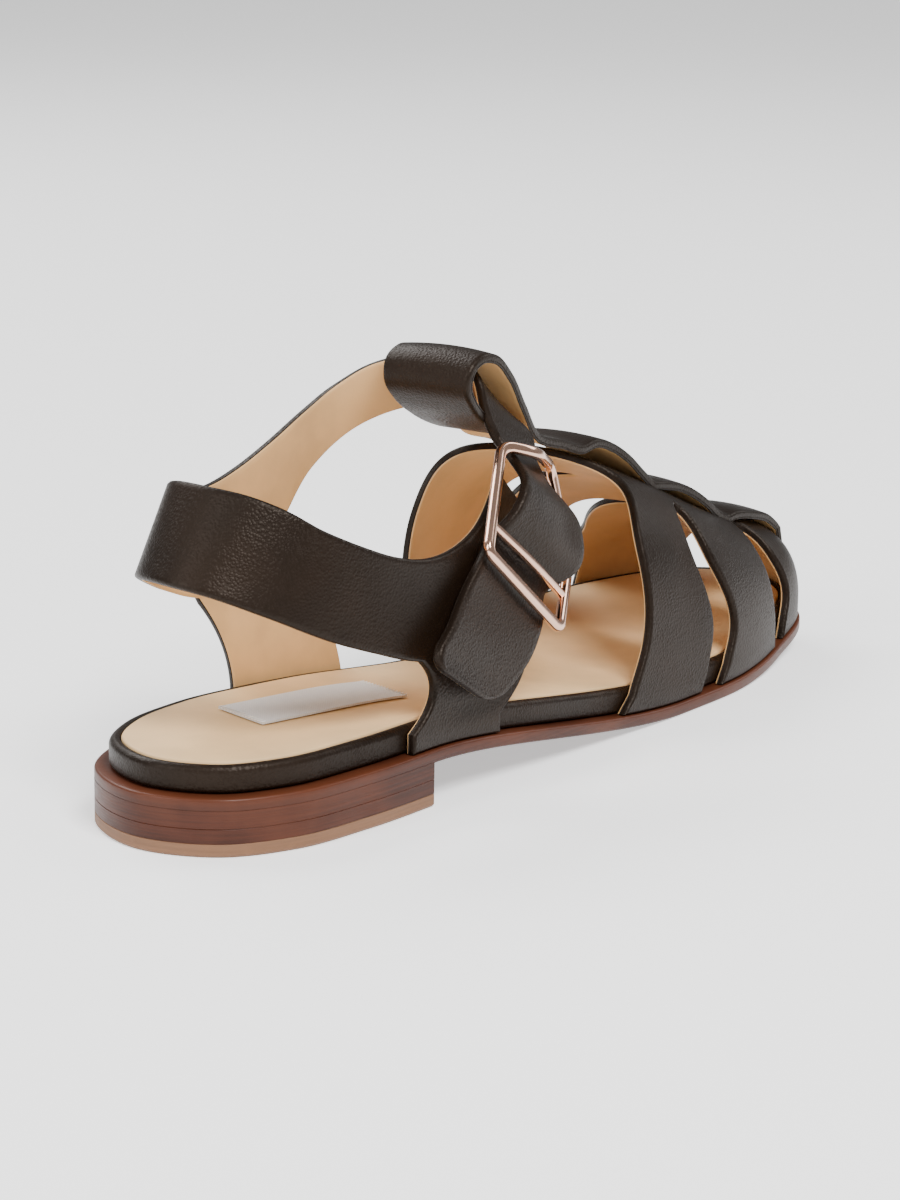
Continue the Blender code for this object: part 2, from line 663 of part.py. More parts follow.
def band():
    """Heel strap, quarters and ankle strap as one sheet: the band with its two legs."""
    low, top = band_edges()
    sheet = Sheet()
    shares = np.linspace(0.0, 1.0, BAND_COLUMNS + 1)[:, None]
    grid = [low[i] + (top[i] - low[i]) * shares for i in range(len(low))]
    sheet.add_grid([row[::-1] for row in grid])
    for leg in LEGS:
        side = 0 if leg["side"] == "outer" else 1
        first = leg["rows"][0] * BAND_STEPS
        last = leg["rows"][1] * BAND_STEPS
        share = np.linspace(leg["feet"][0], leg["feet"][1], last - first + 1)
        foot = along_side(LAST_SIDES[side], share)
        columns = []
        for i, (x, y) in zip(range(first, last + 1), foot):
            start = np.array([x, y, turn_in(x)])
            end = low[i]
            knee = start + (end - start) * LEG_KNEE + (leg["bow"] * LENGTH, 0.0, 0.0)
            t = np.linspace(0.0, 1.0, LEG_ROWS + 1)[:, None]
            curve = start * (1 - t) ** 2 + 2 * knee * t * (1 - t) + end * t**2
            columns.append(np.vstack([(x, y, foot_height(x)), curve]))
        sheet.add_grid([column[::-1] for column in columns])
    return sheet.thickened(WALL)


def build_upper(leather):
    """The upper: cross straps, spine and band joined into one hollow leather solid."""
    upper = add_object("upper", *cross_straps(), leather)
    for name, shape in (("upper_spine_guide", spine()), ("upper_band_guide", band())):
        guide = add_object(name, *shape, leather)
        guide.hide_render = True
        guide.display_type = "WIRE"
        join = upper.modifiers.new(name, "BOOLEAN")
        join.operation = "UNION"
        join.object = guide


def swept_bar(path, closed, width, depth, outward):
    """A bar with chamfered edges along a path. outward is the way its face looks."""
    chamfer = min(width, depth) * CHAMFER_SHARE
    half = width / 2
    deep = depth / 2
    section = (
        (-half + chamfer, deep), (half - chamfer, deep), (half, deep - chamfer), (half, chamfer - deep),
        (half - chamfer, -deep), (chamfer - half, -deep), (-half, chamfer - deep), (-half, deep - chamfer),
    )
    count = len(path)
    vertices = []
    for i in range(count):
        ahead = path[(i + 1) % count] if closed or i + 1 < count else path[i]
        behind = path[i - 1] if closed or i > 0 else path[i]
        tangent = (ahead - behind) / np.linalg.norm(ahead - behind)
        face = outward - tangent * (outward @ tangent)
        face /= np.linalg.norm(face)
        across = np.cross(tangent, face)
        vertices += [path[i] + across * a + face * b for a, b in section]
    size = len(section)
    faces = []
    for i in range(count if closed else count - 1):
        for j in range(size):
            k = (j + 1) % size
            n = (i + 1) % count
            faces.append((i * size + j, i * size + k, n * size + k, n * size + j))
    if not closed:
        faces.append(tuple(range(size))[::-1])
        faces.append(tuple((count - 1) * size + j for j in range(size)))
    return np.array(vertices), faces


def eased_loop(corners, eases, steps):
    """Closed path through the corners, each rounded over its own distance."""
    path = []
    for i, corner in enumerate(corners):
        before = corners[i - 1] - corner
        after = corners[(i + 1) % len(corners)] - corner
        start = corner + before / np.linalg.norm(before) * eases[i]
        end = corner + after / np.linalg.norm(after) * eases[i]
        for t in np.linspace(0.0, 1.0, steps):
            path.append(start * (1 - t) ** 2 + 2 * corner * t * (1 - t) + end * t**2)
    return np.array(path)


def build_buckle(metal):
    """Cast frame that follows the ankle, with its centre bar."""
    corners = np.array([(row["x"], row["y"], row["z"]) for row in FRAME]) * (LENGTH, BALL_WIDTH, INSTEP_HEIGHT)
    rear_top, arch, front_top, front_bend, front_end, rear_end = corners
    outward = np.cross(front_end - rear_top, front_top - rear_end)
    outward /= np.linalg.norm(outward)
    loop = eased_loop(corners, [row["ease"] for row in FRAME], 6)
    frame = add_object("buckle", *swept_bar(loop, True, BUCKLE_BAR, BUCKLE_DEPTH, outward), metal)
    rear = rear_end + (rear_top - rear_end) * BAR_SHARES[0]
    front = front_end + (front_bend - front_end) * BAR_SHARES[1]
    middle = (rear + front) / 2 + outward * BUCKLE_DEPTH * 0.2
    bar_path = path_through([rear, middle, front], 3)
    bar = add_object("buckle_bar_guide", *swept_bar(bar_path, False, CENTRE_BAR, BUCKLE_DEPTH * 0.8, outward), metal)
    bar.hide_render = True
    bar.display_type = "WIRE"
    join = frame.modifiers.new("centre bar", "BOOLEAN")
    join.operation = "UNION"
    join.object = bar


def main():
    for item in list(bpy.data.objects):
        bpy.data.objects.remove(item)
    brown = material("dark brown leather", (0.045, 0.028, 0.020), 0.5)
    sole_leather = material("sole leather", (0.235, 0.075, 0.035), 0.45)
    tread = material("tan top lift", (0.36, 0.20, 0.11), 0.55)
    lining = material("beige lining leather", (0.72, 0.53, 0.33), 0.6)
    cloth = material("white woven label", (0.80, 0.80, 0.78), 0.8)
    metal = material("rose gold", (0.80, 0.56, 0.44), 0.18, 1.0)
    build_heel(sole_leather, tread)
    build_outsole(sole_leather)
    build_board(brown)
    build_insole(lining)
    build_label(cloth)
    build_upper(brown)
    build_buckle(metal)


main()
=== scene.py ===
"""The looks of a fisherman sandal for the right foot: its leathers, lining, sole, buckle, label and stage."""

import bpy
import numpy as np
from math import pi, sin, cos, radians
from bpy.props import FloatProperty, FloatVectorProperty, PointerProperty
from bpy.types import Operator, Panel, PropertyGroup
from mathutils import Matrix, Vector


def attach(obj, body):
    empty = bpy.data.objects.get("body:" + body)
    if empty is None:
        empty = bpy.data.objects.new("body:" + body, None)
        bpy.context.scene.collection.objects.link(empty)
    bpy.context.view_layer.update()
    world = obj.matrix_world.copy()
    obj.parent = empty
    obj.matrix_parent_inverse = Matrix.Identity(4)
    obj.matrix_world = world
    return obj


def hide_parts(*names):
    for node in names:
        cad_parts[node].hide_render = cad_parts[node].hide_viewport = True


bl_info = {
    "name": "Fisherman sandal",
    "version": (1, 0, 0),
    "blender": (4, 5, 0),
    "location": "View3D > Sidebar > Sandal",
    "description": "Builds the finished pieces of a leather fisherman sandal",
    "category": "Add Mesh",
}

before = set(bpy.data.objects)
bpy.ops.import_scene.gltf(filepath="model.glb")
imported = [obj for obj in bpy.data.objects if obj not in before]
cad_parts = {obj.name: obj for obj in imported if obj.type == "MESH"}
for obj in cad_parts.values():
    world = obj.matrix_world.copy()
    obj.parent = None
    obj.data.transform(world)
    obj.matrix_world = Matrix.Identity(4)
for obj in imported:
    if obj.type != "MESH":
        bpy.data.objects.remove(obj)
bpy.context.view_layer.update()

# Driving sizes of the sole
LENGTH = 0.252
BALL_WIDTH = 0.082
HEEL_LENGTH = 0.064
TOP_LIFT = 0.003
HEEL_LIFT = 0.003
HEEL_LIFTS = ("heel_lift_lower", "heel_lift_upper")
OUTSOLE = 0.003
BOARD = 0.006
INSOLE = 0.0012
TOE_SPRING = 0.0075
BALL_START = 0.66 * LENGTH
TREAD_END = 0.74 * LENGTH
LEDGE = 0.0032
INSOLE_MARGIN = 0.0024
BOARD_ROUND = 0.0016
SOLE_ROUND = 0.0006
GAP = 0.0003
STRAP_GAP = 0.0004
# Easing of the lifts' edges, and how far the upper lift reaches into the round of the outsole
LIFT_EASE = 0.00012
LIFT_SEAT = 0.6 * SOLE_ROUND
# Rounding of the board's lower edge and of the insole's edge
BOARD_FOOT_ROUND = 0.6 * BOARD_ROUND
INSOLE_ROUND = 0.6 * INSOLE
# Where the board's top steps down under the insole: the drop at the step, and how far across it goes
RECESS_DROP = 0.15 * BOARD_ROUND
RECESS_STEP = 0.0002
# Painted highlight along the outsole's top edge: how light it is where the round starts, and then how far in
# from the round and how light
EDGE_HIGHLIGHT_START = 0.3
EDGE_HIGHLIGHT = ((0.0012, 0.7), (0.0030, 0.0))
# Points of the sole's smooth outline, and cross-sections along each of its layers
OUTLINE_POINTS = 720
SOLE_STATIONS = 150

# Driving sizes of the upper
INSTEP_HEIGHT = 0.094
SIZES = (LENGTH, BALL_WIDTH, INSTEP_HEIGHT)
WALL = 0.0022
SPINE_WIDTH = 0.023
SPINE_SEAT = 0.0011
SECTION_POWER = 2.35
OVERHANG = 0.006
OVERHANG_START = 0.50 * LENGTH
OVERHANG_END = 0.70 * LENGTH

# Driving sizes of the buckle and the label
BUCKLE_BAR = 0.0026
BUCKLE_DEPTH = 0.0022
CENTRE_BAR = 0.0022
CENTRE_BAR_DEPTH = 0.8 * BUCKLE_DEPTH
CENTRE_BAR_BOW = 0.2 * BUCKLE_DEPTH
# How square the section of a bar is, across it and out of it: 1 is round
BAR_SQUARENESS = (0.62, 0.72)
# Sides of that section, points round each bend of the frame, and steps along each half of the centre bar
BAR_SIDES = 20
BEND_POINTS = 16
BAR_STEPS = 8
LABEL_LENGTH = 0.0408
LABEL_WIDTH = 0.0165
LABEL_THICKNESS = 0.0005
LABEL_PLACE = 0.237
LABEL_TURN = -0.253
LABEL_ACROSS = -0.028
# Cells of the label along and across, how high it puckers between its sewn ends, the share of that which is
# even across it, and the wave of the rest, radians over its width
LABEL_CELLS = (48, 20)
PUCKER = 0.00025
PUCKER_EVEN = 0.6
PUCKER_WAVE = 7.0
# Stitches over each short end: how many, how much of the half width they take, how far in and up they lie,
# and their thread
STITCHES = 12
STITCH_REACH = 0.47
STITCH_INSET = 0.0004
STITCH_RISE = 0.00006
STITCH_RADIUS = 0.00017
STITCH_SIDES = 8
THREAD_COLOUR = (0.86, 0.84, 0.80)

# The shoe's middle, which is put over the origin
MIDDLE_ACROSS = 0.0038

# Outline of the outsole, heel to toe down the outer side and back up the inner side.
# along: share of LENGTH; across: share of BALL_WIDTH
OUTLINE = (
    (0.000, -0.020), (0.027, -0.238), (0.083, -0.343), (0.167, -0.388), (0.286, -0.405),
    (0.405, -0.432), (0.540, -0.440), (0.659, -0.446), (0.766, -0.438), (0.870, -0.378),
    (0.970, -0.266), (1.000, -0.075), (0.996, 0.090), (0.976, 0.235), (0.922, 0.400),
    (0.845, 0.517), (0.742, 0.541), (0.623, 0.437), (0.506, 0.300), (0.400, 0.258),
    (0.298, 0.277), (0.171, 0.338), (0.090, 0.312), (0.037, 0.228),
)

# Crown line of the last, from the instep to the toe.
# along: share of LENGTH; across: share of BALL_WIDTH; height: share of INSTEP_HEIGHT
CROWN = (
    (0.480, -0.030, 0.750), (0.556, -0.022, 0.690), (0.600, -0.020, 0.658), (0.635, -0.020, 0.629),
    (0.683, -0.024, 0.579), (0.742, -0.032, 0.514), (0.794, -0.040, 0.455), (0.849, -0.048, 0.398),
    (0.909, -0.054, 0.352), (0.944, -0.054, 0.327), (0.968, -0.052, 0.288), (0.981, -0.050, 0.240),
)

# Places up a strap at which its edges are given: its foot, low, middle, high and the crown of the last
UP_STRAP = (0.0, 0.15, 0.45, 0.85, 1.0)
# Share of the way up at which the straps turn in from the board's side
TURN_IN = 0.06
# Edges of the cross straps: back edge, the two gaps between straps and the front edge.
# outer and inner: X at each place up the strap, and crown: X at the crown, shares of LENGTH;
# width: half width of the gap at foot, low and middle, share of LENGTH; close: where it ends, outer and inner
STRAP_EDGES = (
    dict(outer=(0.548, 0.587, 0.603, 0.632), crown=0.592, inner=(0.520, 0.527, 0.541, 0.554)),
    dict(outer=(0.706, 0.730, 0.712, 0.727), crown=0.714, inner=(0.732, 0.728, 0.708, 0.692),
         width=(0.0192, 0.0215, 0.0200), close=(0.70, 0.92)),
    dict(outer=(0.875, 0.882, 0.877, 0.864), crown=0.838, inner=(0.869, 0.866, 0.846, 0.810),
         width=(0.0135, 0.0225, 0.0215), close=(0.84, 0.90)),
    dict(outer=(0.976, 0.974, 0.970, 0.963), crown=0.962, inner=(0.972, 0.972, 0.968, 0.962)),
)
STRAP_COLUMNS = (24, 18, 18)
STRAP_ROWS = 60
# Above 1, the rows of a strap stand closer together towards the crown
ROW_CROWDING = 1.1

# Centre strap: its lower face along the crown, toe first, then round the ankle strap as a loop.
# along: share of LENGTH; height: share of INSTEP_HEIGHT; across: share of BALL_WIDTH;
# width: share of SPINE_WIDTH; camber: drop of its edges, share of SPINE_WIDTH
SPINE_NAMES = ("along", "height", "across", "width", "camber")
SPINE = [dict(zip(SPINE_NAMES, row)) for row in (
    (0.958, 0.330, -0.054, 1.02, 0.050),
    (0.939, 0.361, -0.054, 1.02, 0.050),
    (0.908, 0.385, -0.054, 1.02, 0.050),
    (0.880, 0.396, -0.052, 1.00, 0.050),
    (0.862, 0.400, -0.050, 0.98, 0.080),
    (0.843, 0.418, -0.047, 0.98, 0.060),
    (0.821, 0.455, -0.044, 1.00, 0.050),
    (0.799, 0.488, -0.040, 1.00, 0.045),
    (0.771, 0.519, -0.036, 0.99, 0.045),
    (0.743, 0.537, -0.033, 0.98, 0.055),
    (0.727, 0.550, -0.031, 0.96, 0.080),
    (0.710, 0.578, -0.028, 0.97, 0.060),
    (0.678, 0.636, -0.024, 1.00, 0.040),
    (0.652, 0.672, -0.021, 1.00, 0.035),
    (0.626, 0.693, -0.020, 1.00, 0.035),
    (0.604, 0.692, -0.022, 0.98, 0.060),
    (0.565, 0.713, -0.026, 0.96, 0.030),
    (0.520, 0.752, -0.032, 0.96, 0.040),
    (0.480, 0.853, -0.052, 1.00, 0.050),
    (0.447, 0.944, -0.068, 1.04, 0.050),
    (0.420, 0.991, -0.076, 1.06, 0.040),
    (0.401, 0.995, -0.078, 1.06, 0.030),
    (0.388, 0.973, -0.078, 1.06, 0.020),
    (0.386, 0.940, -0.077, 1.04, 0.010),
    (0.398, 0.896, -0.074, 1.00, 0.000),
    (0.423, 0.852, -0.066, 0.94, 0.000),
    (0.456, 0.814, -0.056, 0.90, 0.000),
    (0.486, 0.796, -0.042, 0.86, 0.000),
    (0.506, 0.805, -0.038, 0.84, 0.000),
)]
SPINE_STEPS = 8
SPINE_COLUMNS = 18
TOE_ROWS = 20
# Points of the last's outline that count as its nose, on each side
NOSE_POINTS = 120

# The band: outer arm, round the heel, up the inner arm, through the loop, and down through the buckle
# to the free end. A row for each section, with its low (front) and top (rear) edge on the inner face.
# x: share of LENGTH; y: share of BALL_WIDTH; z: share of INSTEP_HEIGHT
BAND = (
    ("outer arm end", (0.454, -0.220, 0.622), (0.428, -0.202, 0.704)),
    ("outer arm", (0.432, -0.284, 0.500), (0.404, -0.238, 0.666)),
    ("outer leg front", (0.399, -0.342, 0.366), (0.358, -0.286, 0.612)),
    ("outer leg, front third", (0.352, -0.364, 0.352), (0.312, -0.316, 0.588)),
    ("outer leg, back third", (0.298, -0.364, 0.344), (0.270, -0.320, 0.583)),
    ("outer leg back", (0.246, -0.354, 0.352), (0.226, -0.312, 0.607)),
    ("outer heel", (0.196, -0.328, 0.394), (0.184, -0.288, 0.652)),
    ("outer heel bend", (0.145, -0.280, 0.447), (0.151, -0.250, 0.698)),
    ("outer heel corner", (0.098, -0.205, 0.512), (0.128, -0.188, 0.746)),
    ("outer heel back", (0.067, -0.108, 0.558), (0.113, -0.106, 0.773)),
    ("heel back", (0.056, 0.000, 0.575), (0.106, 0.000, 0.783)),
    ("inner heel back", (0.066, 0.112, 0.572), (0.111, 0.104, 0.782)),
    ("inner heel corner", (0.100, 0.214, 0.542), (0.134, 0.188, 0.756)),
    ("inner heel bend", (0.152, 0.276, 0.485), (0.162, 0.240, 0.726)),
    ("inner leg back", (0.208, 0.298, 0.436), (0.214, 0.268, 0.714)),
    ("inner leg, back third", (0.247, 0.306, 0.430), (0.256, 0.274, 0.738)),
    ("inner leg, front third", (0.285, 0.306, 0.466), (0.300, 0.268, 0.785)),
    ("inner leg front", (0.322, 0.298, 0.560), (0.345, 0.250, 0.850)),
    ("inner arm", (0.360, 0.274, 0.695), (0.377, 0.212, 0.908)),
    ("inner arm top", (0.400, 0.214, 0.786), (0.398, 0.148, 0.952)),
    ("under the loop, inner", (0.434, 0.108, 0.836), (0.410, 0.052, 0.974)),
    ("under the loop", (0.450, -0.010, 0.846), (0.415, -0.050, 0.974)),
    ("under the loop, outer", (0.463, -0.126, 0.826), (0.413, -0.152, 0.946)),
    ("below the loop", (0.489, -0.190, 0.762), (0.414, -0.186, 0.862)),
    ("under the top bar", (0.490, -0.204, 0.703), (0.421, -0.212, 0.795)),
    ("bulge, upper", (0.488, -0.252, 0.646), (0.420, -0.276, 0.746)),
    ("bulge", (0.496, -0.345, 0.548), (0.400, -0.356, 0.706)),
    ("bulge, lower", (0.484, -0.372, 0.468), (0.380, -0.366, 0.654)),
    ("over the centre bar", (0.468, -0.348, 0.440), (0.369, -0.349, 0.623)),
    ("under the centre bar", (0.452, -0.332, 0.421), (0.361, -0.335, 0.599)),
    ("under the end bar", (0.412, -0.394, 0.351), (0.328, -0.368, 0.563)),
    ("free end, upper", (0.385, -0.412, 0.288), (0.290, -0.392, 0.489)),
    ("free end, middle", (0.350, -0.426, 0.246), (0.256, -0.418, 0.428)),
    ("free end tip", (0.317, -0.434, 0.216), (0.224, -0.430, 0.372)),
)
BAND_STEPS = 10
BAND_COLUMNS = 16
LEG_ROWS = 18
# Where the curve of a leg is pulled to: shares of the way from its foot to the band, along, across and up
LEG_KNEE = np.array([0.50, 0.0, 0.50])
# Legs: first and last row of the band that the leg carries, the place of its foot along the board's side,
# and how far its curve bows forward, share of LENGTH
LEGS = (
    dict(side="outer", rows=(2, 5), feet=(0.363, 0.250), bow=0.044),
    dict(side="inner", rows=(14, 17), feet=(0.254, 0.378), bow=0.016),
)
# Rounding of the free end's corners, and rows over it
FREE_END_ROUND = 0.0058
FREE_END_ROWS = 10
# Row of the band from which its cut edge is stained dark all through, towards the free end
STAINED_FROM = 23

# Buckle frame on the middle of its bar, round from the rear top corner. A row for each bend.
# x: share of LENGTH; y: share of BALL_WIDTH; z: share of INSTEP_HEIGHT; ease: rounding of the bend, metres
FRAME = (
    dict(bend="rear top corner", x=0.408, y=-0.276, z=0.792, ease=0.0032),
    dict(bend="arch of the top bar", x=0.443, y=-0.322, z=0.766, ease=0.0050),
    dict(bend="front top corner", x=0.500, y=-0.250, z=0.702, ease=0.0032),
    dict(bend="bend of the front side", x=0.508, y=-0.306, z=0.466, ease=0.0080),
    dict(bend="front end corner", x=0.428, y=-0.442, z=0.346, ease=0.0026),
    dict(bend="rear end corner", x=0.324, y=-0.416, z=0.586, ease=0.0026),
)
# The centre bar runs from the rear side to the front side, each a share of the way up from the end bar
BAR_SHARES = (0.26, 0.45)

# Places of a strap's three materials
LEATHER_SLOT = 0
LINING_SLOT = 1
BOND_SLOT = 2
# Levels up the cut edge of a strap: share of the wall, how far the level is drawn in, and the slot below it
EDGE_LAYERS = (
    (0.00, 0.00020, LINING_SLOT),
    (0.05, 0.00005, LINING_SLOT),
    (0.17, 0.00000, LINING_SLOT),
    (0.21, 0.00014, BOND_SLOT),
    (0.27, 0.00014, BOND_SLOT),
    (0.32, 0.00000, LEATHER_SLOT),
    (0.70, 0.00000, LEATHER_SLOT),
    (0.88, 0.00018, LEATHER_SLOT),
    (1.00, 0.00065, LEATHER_SLOT),
)
# From the heel's end, where the tables start, to the middle of the shoe
SHIFT = np.array([LENGTH / 2, MIDDLE_ACROSS, 0.0])

# How high a crease is at its ends, as a share of its height
CREASE_ENDS = 0.35
# Soft creases worked into the straps: where each runs from and to, its half width and its height, in metres.
# Points are measured from the heel's end. A negative height is a trough.
CREASES = (
    ((0.0795, -0.0350, 0.0205), (0.0570, -0.0350, 0.0350), 0.0011, 0.0006),
    ((0.0825, -0.0348, 0.0238), (0.0605, -0.0345, 0.0380), 0.0010, -0.0003),
    ((0.060, -0.030, 0.052), (0.100, -0.031, 0.038), 0.006, -0.0005),
    ((0.030, -0.024, 0.062), (0.034, -0.026, 0.042), 0.007, 0.0004),
    ((0.018, -0.014, 0.066), (0.020, -0.014, 0.052), 0.005, -0.0004),
    ((0.150, -0.034, 0.045), (0.172, -0.032, 0.040), 0.007, 0.0005),
    ((0.146, -0.036, 0.026), (0.176, -0.038, 0.022), 0.008, -0.0004),
    ((0.112, -0.030, 0.058), (0.122, -0.031, 0.050), 0.004, -0.0005),
    ((0.104, -0.031, 0.056), (0.118, -0.033, 0.046), 0.003, 0.0004),
    ((0.098, -0.038, 0.034), (0.080, -0.037, 0.040), 0.004, -0.0004),
    ((0.205, 0.030, 0.030), (0.232, 0.024, 0.024), 0.0016, -0.0005),
    ((0.202, 0.034, 0.025), (0.228, 0.030, 0.019), 0.0014, 0.0005),
    ((0.206, 0.036, 0.021), (0.222, 0.034, 0.017), 0.0014, -0.0004),
    ((0.214, 0.030, 0.027), (0.236, 0.022, 0.020), 0.0012, 0.0004),
)

# Patterns of the finishes, in repeats per metre but for the weave's radians, and how far each wanders or
# stands up, in metres
CALF = dict(warp=260.0, pebbles=1500.0, fine=2600.0, clouds=38.0, crisp=55.0, wander=0.0004, height=0.00009)
LINING = dict(clouds=60.0, pores=1700.0, fine=900.0, height=0.00007)
SOLE_EDGE = dict(layers=(22.0, 22.0, 1500.0), fibres=(300.0, 300.0, 2600.0), stain=45.0, height=0.00010)
TOP_LIFT_EDGE = dict(layers=(30.0, 30.0, 1300.0), scuffs=150.0, height=0.00010)
WEAVE = dict(along=12500.0, across=9000.0, clouds=400.0, height=0.00010)
POLISH = dict(smears=120.0, waves=90.0, height=0.00008)

# Half the side of the floor, the point that the lights look at, and each light:
# name, place, size and power in watts
FLOOR_REACH = 6.0
LIT_POINT = (0.0, 0.0, 0.04)
LIGHTS = (
    ("key", (-0.45, -0.85, 1.20), (0.6, 0.6), 30.0),
    ("back", (0.20, 1.20, 1.20), (1.4, 0.6), 20.0),
    ("heel side", (-1.30, 0.30, 0.70), (0.3, 0.9), 10.0),
    ("toe side", (1.20, -0.50, 0.90), (0.5, 0.8), 6.0),
)
# The camera: azimuth, elevation and roll in degrees, distance and what it looks at in metres, lens and sensor
# in mm, and the nearest that it sees in metres
CAMERA = dict(azimuth=-54.641, elevation=13.706, roll=0.853, distance=0.7997, lens=99.357,
              target=(0.0, 0.0038, 0.0292))
SENSOR = 36.0
NEAREST = 0.02


def hermite(knots, values, at):
    """Smooth curve through values at increasing knots, read at the given places."""
    knots = np.asarray(knots, float)
    values = np.asarray(values, float)
    at = np.clip(at, knots[0], knots[-1])
    step = np.diff(knots)
    slope = (np.diff(values, axis=0).T / step).T
    tangent = np.empty_like(values)
    tangent[0] = slope[0]
    tangent[-1] = slope[-1]
    for i in range(1, len(knots) - 1):
        before = step[i - 1]
        after = step[i]
        tangent[i] = (slope[i - 1] * after + slope[i] * before) / (before + after)
    i = np.clip(np.searchsorted(knots, at, side="right") - 1, 0, len(step) - 1)
    h = step[i]
    t = (at - knots[i]) / h
    if values.ndim > 1:
        h = h[:, None]
        t = t[:, None]
    first = (2 * t**3 - 3 * t**2 + 1) * values[i] + (t**3 - 2 * t**2 + t) * h * tangent[i]
    second = (3 * t**2 - 2 * t**3) * values[i + 1] + (t**3 - t**2) * h * tangent[i + 1]
    return first + second


def chord_lengths(points):
    """Distance along a list of points, from its first point."""
    steps = np.linalg.norm(np.diff(points, axis=0), axis=1)
    return np.concatenate([[0.0], np.cumsum(steps)])


def closed_curve(points, count):
    """Smooth closed curve through the points, as count points."""
    points = np.asarray(points, float)
    wrap = 3
    looped = np.vstack([points[-wrap:], points, points[:wrap + 1]])
    knots = chord_lengths(looped)
    start = knots[wrap]
    end = knots[wrap + len(points)]
    return hermite(knots, looped, np.linspace(start, end, count, endpoint=False))


def path_through(points, steps, knots=None):
    """Smooth open curve through the points, with steps intervals between each two.

    knots gives their distances along the curve, where these aren't the distances between the points.
    """
    points = np.asarray(points, float)
    if knots is None:
        knots = chord_lengths(points)
    index = np.arange((len(points) - 1) * steps + 1) / steps
    return hermite(knots, points, np.interp(index, np.arange(len(points)), knots))


def bend_between(start, pull, end, steps):
    """Points of a bend from start to end that is pulled towards a third point."""
    t = np.linspace(0.0, 1.0, steps)[:, None]
    return start * (1 - t) ** 2 + 2 * pull * t * (1 - t) + end * t**2


def smoothstep(t):
    """Ease from 0 to 1."""
    t = np.clip(t, 0.0, 1.0)
    return t * t * (3 - 2 * t)


SEAT_HEIGHT = TOP_LIFT + len(HEEL_LIFTS) * HEEL_LIFT + (len(HEEL_LIFTS) + 1) * GAP


def underside(x):
    """Height of the outsole's lower face: heel seat, arch, tread on the floor, toe spring."""
    arch = SEAT_HEIGHT * (1 - smoothstep((x - HEEL_LENGTH) / (BALL_START - HEEL_LENGTH)))
    toe = np.clip((x - TREAD_END) / (LENGTH - TREAD_END), 0.0, 1.0)
    return arch + TOE_SPRING * toe**2


def outsole_top(x):
    """Height of the outsole's upper face."""
    return underside(x) + OUTSOLE


SMOOTH_OUTLINE = closed_curve(np.array(OUTLINE) * (LENGTH, BALL_WIDTH), OUTLINE_POINTS)


def outline(inset):
    """The sole's outline drawn in by inset, as outer and inner side, each from heel to toe."""
    loop = SMOOTH_OUTLINE
    along = np.roll(loop, -1, axis=0) - np.roll(loop, 1, axis=0)
    along /= np.linalg.norm(along, axis=1)[:, None]
    inward = np.column_stack([-along[:, 1], along[:, 0]])
    loop = loop + inward * inset
    heel = np.argmin(loop[:, 0])
    loop = np.roll(loop, -heel, axis=0)
    toe = np.argmax(loop[:, 0])
    outer = loop[:toe + 1]
    inner = np.vstack([loop[toe:], loop[:1]])[::-1]
    return outer, inner


def side_at(side, x):
    """Distance across at x, on one side of an outline."""
    order = np.argsort(side[:, 0])
    return np.interp(x, side[order, 0], side[order, 1])


def along_side(side, share):
    """Point on one side of an outline at a share of its length, heel 0 to toe 1."""
    lengths = chord_lengths(side)
    place = np.asarray(share) * lengths[-1]
    return np.column_stack([np.interp(place, lengths, side[:, 0]), np.interp(place, lengths, side[:, 1])])


def stations(start, end, count):
    """Places along the shoe, closer together at both ends."""
    turn = np.linspace(0.0, pi, count)
    return start + (end - start) * (1 - np.cos(turn)) / 2


def ring_at(inset, height, count, reach=None):
    """One closed ring of the outline: down the outer side and back up the inner side.

    height gives Z from X. reach cuts the ring off square at that X.
    """
    outer, inner = outline(inset)
    end = outer[-1, 0] if reach is None else reach
    if reach is None:
        x = stations(outer[0, 0], end, count)
    else:
        turn = np.linspace(0.0, pi / 2, count)
        x = outer[0, 0] + (end - outer[0, 0]) * (1 - np.cos(turn))
    far = np.column_stack([x, side_at(outer, x)])
    near = np.column_stack([x, side_at(inner, x)])
    tail = 1 if reach is None else 0
    ring = np.vstack([far, near[::-1][tail:len(near) - 1]])
    return np.column_stack([ring, height(ring[:, 0])])


def raised(base, rise):
    """Height function that lies a given rise over another one."""
    return lambda x: base(x) + rise


def flat(height):
    """Height function of a level plane."""
    return lambda x: np.full(len(x), height)


def board_top(x):
    """Height of the board's upper face."""
    return outsole_top(x) + GAP + BOARD


def insole_top(x):
    """Height of the insole's upper face, a little proud of the board."""
    return board_top(x) + GAP


CROWN_ROWS = np.array(CROWN) * SIZES
LAST_SIDES = outline(LEDGE - STRAP_GAP)
TIP = LAST_SIDES[0][-1]


def foot_height(x):
    """Height where the straps end, just over the outsole."""
    return outsole_top(x) + GAP


def turn_in(x):
    """Height up to which the straps stand upright against the board's side."""
    return board_top(x) - BOARD_ROUND


CROWN_KNOTS = np.append(CROWN_ROWS[:, 0], TIP[0])
CROWN_ACROSS = np.append(CROWN_ROWS[:, 1], CROWN_ROWS[-1, 1])
CROWN_HEIGHT = np.append(CROWN_ROWS[:, 2], turn_in(TIP[0]))


def crown_height(x):
    """Height of the last's crown line."""
    return hermite(CROWN_KNOTS, CROWN_HEIGHT, np.atleast_1d(x))


def crown_across(x):
    """Place across of the last's crown line."""
    return hermite(CROWN_KNOTS, CROWN_ACROSS, np.atleast_1d(x))


def overhang(x, side):
    """How far the last stands out over the waist of the sole, on its inner side."""
    if side == 0:
        return np.zeros(len(x))
    return OVERHANG * (1 - smoothstep((x - OVERHANG_START) / (OVERHANG_END - OVERHANG_START)))


